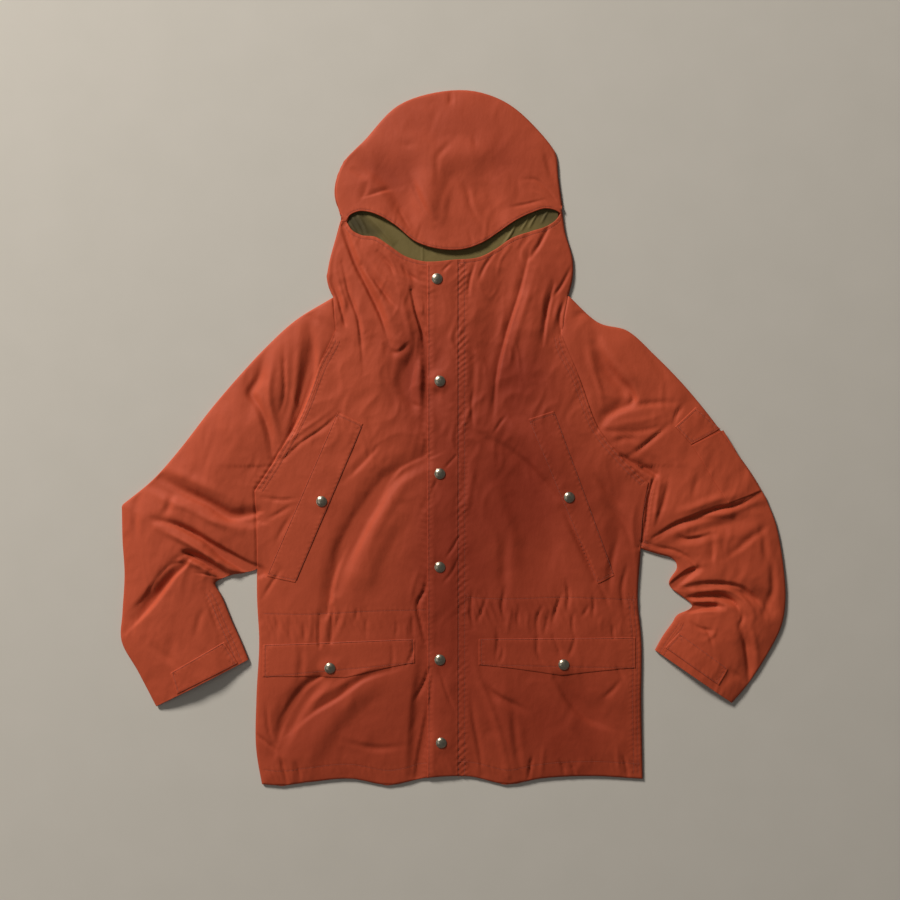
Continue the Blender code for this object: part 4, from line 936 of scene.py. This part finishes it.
def raglan_curve(side, share):
    """The sleeve's sewn edge, which lies under the front's, at shares of the sleeve's width."""
    inside = np.clip(np.minimum(share, 1 - share) * 6, 0.0, 1.0)[:, None]
    return along(raglan_seam(side), share) + RAGLAN_TUCK * inside * np.array([-OUTWARDS[side], -0.4])


def sleeve_plan(side, across):
    """Plan points across a sleeve, a row for each ring from the raglan seam to the cuff."""
    trial = np.linspace(0, len(SLEEVES[side]) - 1, 80)
    inner, outer = sleeve_section(side, trial)
    at = run_to((inner + outer) / 2)
    places = np.interp(shares(at[-1], first=False) * at[-1], at, trial)
    first_inner, first_outer = sleeve_section(side, 0.0)
    straight = first_inner + across[:, None] * (first_outer - first_inner)
    rows = []
    for place in places:
        inner, outer = sleeve_section(side, place)
        pull = max(0.0, 1 - place / RAGLAN_REACH) ** 3
        row = inner + across[:, None] * (outer - inner)
        rows.append(row + pull * (raglan_curve(side, across) - straight))
    return np.array(rows)


def patch_plan(corners, point=None):
    """Plan points of a patch, its shares along and across, and its length and width.

    Its first side is the sewn one. `point` draws its free side down to a point: where, and how far.
    """
    start, end, far_end, far_start = (np.array(corner, float) for corner in corners)
    length, width = np.linalg.norm(end - start), np.linalg.norm(far_start - start)
    u, v = shares(length), shares(width)
    sewn = start + u[:, None] * (end - start)
    free = far_start + u[:, None] * (far_end - far_start)
    if point:
        at, drop = point
        reach = np.where(u < at, u / at, (1 - u) / (1 - at))
        free += (drop * reach**1.3)[:, None] * np.array([0, -1.0])
    plan = (1 - v)[:, None, None] * sewn + v[:, None, None] * free
    return plan, u, v, length, width


# ---------------------------------------------------------------- the panels
def lip(plan_distance, drop=0.9, reach=1.2):
    """How far a hemmed edge rolls down, close to it."""
    return -drop * (1 - quarter_round(plan_distance, reach))


def off_line(points, plan):
    """Distance of each plan point to an edge."""
    return np.abs(nearest_on(polyline(points, 90), *flat(plan))[0]).reshape(plan.shape[:2])


def beyond_front(side, plan):
    """How far each plan point lies outside the edge of the front, below 0 where it is under it."""
    off, _, _ = nearest_on(front_over_sleeve(side), *flat(plan))
    return -OUTWARDS[side] * off.reshape(plan.shape[:2])


def front_panel(name, first_x, last_x):
    """Half of the front, from the side and the raglan seam to the zip, and from hem to face opening."""
    plan = body_plan(first_x, last_x)
    side = "right" if first_x == "side" else "left"
    height = over(plan) + lip(off_line(FACE_OPENING_BELOW, plan))
    return panel(name, plan, height + lip(np.abs(beyond_front(side, plan)), drop=0.5, reach=1.6))


def back_panel():
    """The body back, flat on the floor and turned up to meet the fronts at the side seams."""
    plan = body_plan("side", "side")
    plan = plan[plan[:, :, 1].mean(axis=1) < NECK_SEAM_Y]
    return panel("back_panel", plan, on_floor(plan))


def hood_back_panel():
    """The hood's back half, flat on the floor from the neck to the outline of the hood."""
    right, left = polyline(BODY_EDGE["right"]["hood"], 16), polyline(BODY_EDGE["left"]["hood"], 16)
    u = shares(HOOD_BACK_WIDE, BACK_CELL)
    lower = right[:, None] + u[None, :, None] * (left - right)[:, None]
    lower[..., 1] = np.maximum(lower[..., 1], NECK_SEAM_Y + 0.5)
    across = [right[-1], (right[-1] + left[-1]) / 2, left[-1]]
    upper = between(across, HOOD_OUTLINE, u, shares(HOOD_BACK_TALL, BACK_CELL)[1:])
    plan = np.concatenate([lower, upper])
    return panel("hood_back_panel", plan, on_floor(plan))


def on_brim(x, y):
    """The upper face of the hood's crown, a little thicker along the hemmed brim."""
    off, _, _ = nearest_on(even(BRIM), np.ravel(x), np.ravel(y))
    return cloth_top(x, y) + BRIM_RISE * np.exp(-((off / BRIM_HEM) ** 2)).reshape(np.shape(x))


def hood_crown_panel():
    """The front of the hood, from the brim that stands off the lining to the outline."""
    plan = between(BRIM, HOOD_OUTLINE, shares(CROWN_WIDE), shares(CROWN_TALL))
    height = on_brim(plan[..., 0], plan[..., 1]) + lip(off_line(BRIM, plan), drop=1.2)
    return panel("hood_crown_panel", plan, height, CROWN_WALL)


def lining_panel():
    """Olive lining under the brim, crumpled where the hood is folded at both ends of the opening."""
    below = [(x * 0.965, y - 30) for x, y in FACE_OPENING_BELOW]
    above = [(x * 0.965, y + 30) for x, y in BRIM]
    plan = between(below, above, shares(LINING_WIDE, LINING_CELL), np.linspace(0, 1, 64))
    height = np.full(plan.shape[:2], LINING_LEVEL)
    for crease in (Crease(*row) for row in LINING_CREASES):
        side, run, length = nearest_on(polyline(crease.points, 12), *flat(plan))
        fade = np.sin(np.pi * np.clip(run / length, 0, 1)) ** 0.6
        height += (crease.rise * beside_crease(crease, side) * fade).reshape(height.shape)
    height = np.maximum(np.minimum(height, over(plan) - LINING_ROOM), LINING_LOWEST)
    return panel("lining_panel", plan, height, LINING_WALL)


def sleeve_tube(name, side):
    """A sleeve as one tube of cloth, open at the raglan seam and at the cuff."""
    plan = sleeve_plan(side, shares(SLEEVE_WIDE))
    under_plan = sleeve_plan(side, shares(SLEEVE_WIDE, UNDER_CELL)[1:-1][::-1])
    outside = beyond_front(side, plan)
    less = SEAM_NECK_LESS * np.clip((plan[..., 1] - SEAM_NECK_Y) / SEAM_NECK_REACH, 0.0, 1.0)
    tuck = SEAM_STEP * (1 - less) * np.clip((TUCK_REACH - outside) / TUCK_REACH, 0.0, 1.0)
    tuck += np.clip((-UNDER_FRONT - outside) / TUCK_REACH, 0.0, UNDER_DROP)
    top = over(plan) - tuck
    turn = turned_up(under_plan)
    places = under_plan.reshape(-1, 2) * DENT_SCALE
    dents = np.array([noise.noise(Vector((px, py, 7.0))) for px, py in places]).reshape(turn.shape)
    under = FLOOR_GAP + EDGE_LEVEL * turn + DENT * np.clip(dents, 0, 1) * (1 - turn)
    # The back lies between the floor and a sleeve that reaches in under the front
    under += 1.1 * BACK_LEVEL * np.clip((3.5 - beyond_front(side, under_plan)) / 3.0, 0.0, 1.0)
    ring = np.concatenate([plan, under_plan, plan[:, :1]], axis=1)
    height = np.concatenate([top, under, top[:, :1]], axis=1)
    tube = facing_up(grid_of(name, ring, height), above=SLEEVE_UPPER * MM, join=True)
    return walled(smooth(tube), SHELL_WALL)


def fly_panel():
    """The storm flap over the zip, of two layers, with a folded free edge."""
    plan = body_plan(FLY_FREE_X, FLY_SEWN_X)
    free, sewn = plan[..., 0] - FLY_FREE_X, FLY_SEWN_X - plan[..., 0]
    rise = ease(FLY_SEAM_RISE, FLY_RISE, sewn / FLY_SPREAD) + lip(free, drop=1.0, reach=0.9)
    rise += 0.35 * np.exp(-((free - 9) / 3.0) ** 2)
    height = over(plan) + rise + lip(off_line(FACE_OPENING_BELOW, plan))
    return panel("fly_panel", plan, height, FLY_WALL)


def flap_panel(name):
    """A flap of two layers on the panel that carries it."""
    plan, u, v, length, width = patch_plan(FLAPS[name], FLAP_POINT.get(name))
    from_sewn, from_free = (v * width)[:, None], ((1 - v) * width)[:, None]
    from_ends = np.minimum(u, 1 - u) * length
    rise = FLAP_RISE + lip(np.minimum(from_free, from_ends), drop=0.65, reach=1.7)
    rise = rise + lip(from_sewn, drop=0.65, reach=4.0)
    return panel(name + "_panel", plan, over(plan) + rise, FLAP_WALL)


def sleeve_pocket_panel():
    """The pocket on the sleeve, sewn down on three sides."""
    plan, u, v, _, _ = patch_plan(SLEEVE_POCKET)
    from_sides, from_foot = np.minimum(u, 1 - u) * POCKET_WIDE, ((1 - v) * POCKET_TALL)[:, None]
    rise = POCKET_RISE + lip(np.minimum(from_sides, from_foot), drop=0.8, reach=1.8)
    return panel("sleeve_pocket_panel", plan, over(plan) + rise, POCKET_WALL)


# ---------------------------------------------------------------- snaps
def snap_cap(snap):
    """A domed cap with a rolled rim, turned about its own axis."""
    low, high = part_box(snap.node)
    tall = (high.z - low.z) / MM
    profile = ((0.0, tall), (2.2, tall - 0.12), (4.2, tall - 0.55), (5.6, tall - 1.15), (6.5, tall - 1.9),
               (6.85, tall - 2.25), (7.3, tall - 2.2), (7.7, tall - 2.45), (SNAP_RADIUS, tall - 2.8),
               (7.5, 0.0), (0.0, 0.0))
    cap = bmesh.new()
    ring = [cap.verts.new((radius * MM, 0, height * MM)) for radius, height in profile]
    edges = [cap.edges.new(ends) for ends in zip(ring[:-1], ring[1:])]
    bmesh.ops.spin(cap, geom=ring + edges, cent=(0, 0, 0), axis=(0, 0, 1), angle=2 * np.pi,
                   steps=40, use_merge=True)
    bmesh.ops.remove_doubles(cap, verts=cap.verts[:], dist=JOIN)
    bmesh.ops.recalc_face_normals(cap, faces=cap.faces[:])
    middle = (low + high) / 2
    bmesh.ops.translate(cap, verts=cap.verts[:], vec=(middle.x, middle.y, low.z))
    name = snap.node + "_cap"
    return smooth(in_scene(name, mesh_of(name, cap)))


# ---------------------------------------------------------------- sewing
def thread(name, rows, height_at):
    """Rows of stitches: one thread that dips into the cloth at each needle hole."""
    curve = bpy.data.curves.new(name, "CURVE")
    curve.dimensions = "3D"
    curve.bevel_depth = THREAD * MM
    curve.bevel_resolution = 0
    for row in rows:
        at = run_to(row)
        stitches = max(2, int(at[-1] / STITCH))
        phase = np.tile([0.0, 0.18, 0.82], stitches) + np.repeat(np.arange(stitches), 3)
        where = phase / stitches * at[-1]
        x, y = np.interp(where, at, row[:, 0]), np.interp(where, at, row[:, 1])
        z = height_at(x, y) + np.tile([-0.2, 0.1, 0.1], stitches)
        spline = curve.splines.new("POLY")
        spline.points.add(len(where) - 1)
        places = np.stack([x * MM, y * MM, z * MM, np.ones(len(x))], axis=-1)
        spline.points.foreach_set("co", places.ravel())
    holder = bpy.data.objects.new(name, curve)
    mesh = bpy.data.meshes.new_from_object(holder)
    mesh.name = name
    bpy.data.objects.remove(holder)
    bpy.data.curves.remove(curve)
    return smooth(in_scene(name, mesh))


def double(line, gap):
    """The two rows of a twin needle, each `gap` from the line."""
    return [offset_line(line, gap), offset_line(line, -gap)]


def body_rows():
    """Rows of stitches on the fronts: raglan seams, beside the fly, side seams, waist and hem."""
    rows = []
    for side, sign in OUTWARDS.items():
        rows += double(offset_line(even(raglan_seam(side), 0.02, 0.8), 7.0 * sign), RAGLAN_GAP)
    rows += double(up_the_front(ROPE_X, -492, 258, 3.0), ROPE_GAP)
    rows += double(offset_line(even(BODY_EDGE["left"]["side"], 0.02, 0.62), 9.5), TWIN_GAP)
    rows.append(beside_hem(22, 3.0))
    rows.append(even([(-274, -254), (-200, -254), (-120, -250), (-40, -248)]))
    rows.append(even([(20, -230), (60, -232), (160, -230), (268, -234)]))
    rows.append(offset_line(even(FACE_OPENING_BELOW, 0.03, 0.97), -5))
    return rows


def sleeve_rows():
    """Rows on the sleeves: the right inseam, and the left underarm and inseam."""
    rows = []
    for side, first, last, off in (("right", 9.3, 13, -13), ("left", 0.6, 6.6, 8), ("left", 12.6, 15, 11)):
        inner, _ = sleeve_section(side, np.linspace(first, last, 40))
        rows += double(offset_line(inner, off), TWIN_GAP)
    return rows


def flap_rows(name):
    """One row close to each edge of a flap."""
    corners = [np.array(corner, float) for corner in FLAPS[name]]
    middle = np.mean(corners, axis=0)
    sewn = [corner + FLAP_INSET * (middle - corner) / np.linalg.norm(middle - corner) for corner in corners]
    return [np.linspace(start, end, 40) for start, end in zip(sewn, sewn[1:] + sewn[:1])]


FLY_ROWS = [up_the_front(FLY_FREE_X + 3, -490, 250, 3.0)]
BRIM_ROWS = [offset_line(even(BRIM, 0.04, 0.96), 3)]


def on_flap(x, y):
    return cloth_top(x, y) + FLAP_RISE


def on_fly(x, y):
    return cloth_top(x, y) + FLY_RISE


# ---------------------------------------------------------------- finishes
class Wire:
    """A node's output. Arithmetic on wires and numbers adds Math nodes."""

    def __init__(self, finish, socket):
        self.finish = finish
        self.socket = socket

    def math(self, operation, first, second):
        made = self.finish.node("Math", {"operation": operation}, {0: first, 1: second})
        return Wire(self.finish, made.outputs[0])

    def __add__(self, other):
        return self.math("ADD", self, other)

    def __sub__(self, other):
        return self.math("SUBTRACT", self, other)

    def __rsub__(self, other):
        return self.math("SUBTRACT", other, self)

    def __mul__(self, other):
        return self.math("MULTIPLY", self, other)

    def __truediv__(self, other):
        return self.math("DIVIDE", self, other)

    def __rtruediv__(self, other):
        return self.math("DIVIDE", other, self)

    __radd__ = __add__
    __rmul__ = __mul__


class Finish:
    """A material made of nodes round one Principled shader."""

    def __init__(self, name, roughness, metallic=0.0, **constants):
        self.material = bpy.data.materials.new(name)
        self.material.use_nodes = True
        self.tree = self.material.node_tree
        self.tree.nodes.clear()
        self.shader = self.node("BsdfPrincipled", {}, {"Roughness": roughness, "Metallic": metallic})
        for socket, value in constants.items():
            self.shader.inputs[socket.replace("_", " ")].default_value = value
        self.node("OutputMaterial", {}, {"Surface": Wire(self, self.shader.outputs[0])})
        self.place = Wire(self, self.node("TexCoord", {}, {}).outputs["Object"])

    def node(self, kind, settings, sockets):
        """Adds a node, with its settings first and then the values or wires of its sockets."""
        made = self.tree.nodes.new("ShaderNode" + kind)
        for name, value in settings.items():
            if name == "stops":
                for element, (at, colour) in zip(made.color_ramp.elements, value):
                    element.position, element.color = at, colour
            else:
                setattr(made, name, value)
        for name, value in sockets.items():
            if isinstance(value, Wire):
                self.tree.links.new(value.socket, made.inputs[name])
            else:
                made.inputs[name].default_value = value
        return made

    def out(self, kind, settings, sockets, output=0):
        return Wire(self, self.node(kind, settings, sockets).outputs[output])

    def feed(self, socket, wire):
        self.tree.links.new(wire.socket, self.shader.inputs[socket])

    def noise(self, scale, detail=2.0, stretch=(1.0, 1.0, 1.0)):
        """Soft noise between 0 and 1, `scale` blobs to a metre."""
        where = self.out("Mapping", {}, {"Vector": self.place, "Scale": stretch})
        return self.out("TexNoise", {}, {"Vector": where, "Scale": scale, "Detail": detail}, "Fac")

    def waves(self, direction, scale, distortion=0.0):
        """Bands between 0 and 1 that follow each other along a direction."""
        sockets = {"Vector": self.place, "Scale": scale, "Distortion": distortion}
        return self.out("TexWave", {"bands_direction": direction}, sockets)

    def mark(self, name):
        return self.out("Attribute", {"attribute_name": name}, {}, "Fac")

    def falling(self, wire, low, high):
        """1 up to `low`, 0 from `high` on, and smooth between them."""
        span = {"Value": wire, "From Min": low, "From Max": high, "To Min": 1.0, "To Max": 0.0}
        return self.out("MapRange", {"interpolation_type": "SMOOTHSTEP"}, span)

    def blend(self, factor, first, second):
        return self.out("Mix", {"data_type": "RGBA"}, {0: factor, 6: (*first, 1), 7: (*second, 1)}, 2)

    def relief(self, height):
        """Bump from a height in millimetres."""
        self.feed("Normal", self.out("Bump", {}, {"Height": height, "Distance": MM}))


def poplin(name, colour, shade):
    """Fine cotton and nylon poplin: a close plain weave, dye a little uneven, creased and sewn, with shade
    painted into its colour in the seam grooves and where it lies in shadow.
    """
    cloth = Finish(name, CLOTH_ROUGHNESS, Specular_IOR_Level=0.24)
    weave = cloth.waves("X", YARNS, 0.6) * cloth.waves("Y", YARNS, 0.6)
    crumpled = cloth.noise(55.0, 4.0, (1.0, 0.7, 1.0))
    rubbed = cloth.noise(240.0, 2.0, (1.0, 0.5, 1.0))
    dye = cloth.noise(8.0, 3.0)
    away, off, run, painted_shade = cloth.mark("away"), cloth.mark("off"), cloth.mark("run"), cloth.mark("painted_shade")
    groove = cloth.falling(away, 2.0, 3.0) / (off * off * 1.6 + 1.0)
    beside = cloth.falling(away, 0.5, 9.0)
    ripple = cloth.out("Math", {"operation": "SINE"}, {0: run * 0.8 + off * 0.25 + crumpled * 9.0})
    height = weave * 0.05 + crumpled * 0.7 + rubbed * 0.14
    height = height + ripple * beside * 0.08 - groove * 0.2
    # Random dye tone and wear, a little lighter beside the seams and where the crumpled bump rises, with
    # shade painted in: darker in the seam grooves and where the coat lies in shadow.
    wear_and_shade = (dye - 0.5) * 0.3 + (crumpled - 0.5) * 0.2 + beside * 0.06 - groove * 0.15 - painted_shade + 0.9
    tint = cloth.out("ValToRGB", {"stops": ((0.0, (*shade, 1)), (1.0, (*colour, 1)))}, {"Fac": wear_and_shade})
    cloth.feed("Base Color", tint)
    cloth.feed("Roughness", CLOTH_ROUGHNESS + crumpled * 0.14)
    cloth.relief(height)
    return cloth.material


def sewing_thread(name, colour):
    twist = Finish(name, CLOTH_ROUGHNESS, Sheen_Weight=0.2)
    plies = twist.waves("DIAGONAL", 900.0)
    twist.feed("Base Color", twist.blend(plies, [c * 0.8 for c in colour], colour))
    twist.relief(plies * 0.05)
    return twist.material


def antique_silver():
    metal = Finish("antique_silver", 0.34, 1.0)
    tarnish = metal.noise(420.0, 4.0)
    scratches = metal.noise(900.0, 2.0, (1.0, 6.0, 1.0))
    metal.feed("Base Color", metal.blend(tarnish, (0.27, 0.225, 0.15), (0.64, 0.58, 0.46)))
    metal.feed("Roughness", 0.26 + tarnish * 0.16)
    metal.relief(scratches * 0.01 + tarnish * 0.01)
    return metal.material


def pale_floor():
    floor = Finish("pale_floor", 0.85)
    uneven = floor.noise(14.0, 4.0)
    floor.feed("Base Color", floor.blend(uneven, (0.58, 0.54, 0.475), (0.62, 0.575, 0.51)))
    return floor.material


# ---------------------------------------------------------------- putting it together
shell = poplin("rust_poplin", (0.50, 0.078, 0.029), (0.26, 0.028, 0.009))
lining_cloth = poplin("olive_lining", (0.20, 0.148, 0.046), (0.055, 0.042, 0.016))
rust_thread = sewing_thread("rust_thread", (0.40, 0.065, 0.024))
silver = antique_silver()


def finished(piece, *nodes, material=shell, slot="shell"):
    """Gives a piece its finish and its place on the body, and hides the solids that it stands for."""
    piece.data.materials.clear()
    piece.data.materials.append(material)
    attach(piece, "root")
    if nodes:
        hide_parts(*nodes)
    return piece


front_right = finished(front_panel("front_right_panel", "side", ZIP_X), "front_right")
front_left = finished(front_panel("front_left_panel", ZIP_X, "side"), "front_left")
back = finished(back_panel(), "body_back")
hood_back = finished(hood_back_panel(), "hood_back")
crown = finished(hood_crown_panel(), "hood_crown")
lining = finished(lining_panel(), "hood_lining", material=lining_cloth, slot="lining")
sleeve_right = finished(sleeve_tube("sleeve_right_tube", "right"), "sleeve_right")
sleeve_left = finished(sleeve_tube("sleeve_left_tube", "left"), "sleeve_left")
fly = finished(fly_panel(), "storm_flap")
flaps = {name: finished(flap_panel(name), name) for name in FLAPS}
pocket = finished(sleeve_pocket_panel(), "sleeve_pocket")
for snap in SNAPS:
    finished(snap_cap(snap), snap.node, material=silver, slot="snap")

for piece in (front_right, front_left):
    seam_marks(piece, body_rows())
for piece in (sleeve_right, sleeve_left):
    seam_marks(piece, sleeve_rows())
seam_marks(crown, BRIM_ROWS)
seam_marks(fly, FLY_ROWS)
for name, piece in flaps.items():
    seam_marks(piece, flap_rows(name))
for piece in (pocket, back, hood_back):
    seam_marks(piece, [])
seam_marks(lining, [], PAINTED_LINING_SHADE)

for name, rows, height_at in (
    ("body_stitching", body_rows(), cloth_top),
    ("sleeve_stitching", sleeve_rows(), cloth_top),
    ("flap_stitching", [row for flap in FLAPS for row in flap_rows(flap)], on_flap),
    ("fly_stitching", FLY_ROWS, on_fly),
    ("brim_stitching", BRIM_ROWS, on_brim),
):
    finished(thread(name, rows, height_at), material=rust_thread)


# ---------------------------------------------------------------- studio
def softbox(name, place, size, power, colour):
    """A round soft light that looks at the middle of the coat."""
    light = bpy.data.lights.new(name, "AREA")
    light.shape, light.size, light.energy, light.color = "DISK", size, power, colour
    lamp = in_scene(name, light)
    lamp.location = place
    lamp.rotation_mode = "QUATERNION"
    lamp.rotation_quaternion = (-Vector(place)).to_track_quat("-Z", "Y")


def studio():
    """Pale floor, one large soft light from the upper left, weaker fill, and the camera overhead."""
    ground = bmesh.new()
    bmesh.ops.create_grid(ground, x_segments=1, y_segments=1, size=6.0)
    floor = in_scene("floor", mesh_of("floor", ground))
    floor.location.z = -0.0002
    floor.data.materials.append(pale_floor())

    softbox("key", (-3.375, 4.275, 2.775), 1.35, 448.0, (1.0, 0.97, 0.92))
    softbox("fill", (-2.0, -0.6, 2.0), 1.6, 5.0, (1.0, 0.98, 0.95))

    world = bpy.data.worlds.new("studio")
    world.use_nodes = True
    background = world.node_tree.nodes["Background"]
    background.inputs["Color"].default_value = (1.0, 0.985, 0.96, 1)
    background.inputs["Strength"].default_value = 0.1
    bpy.context.scene.world = world

    camera = in_scene("camera", bpy.data.cameras.new("camera"))
    camera.data.lens = 41.4
    camera.location = (-0.00435, -0.0167, 1.506)
    bpy.context.scene.camera = camera
    bpy.context.scene.view_settings.view_transform = "Standard"


studio()
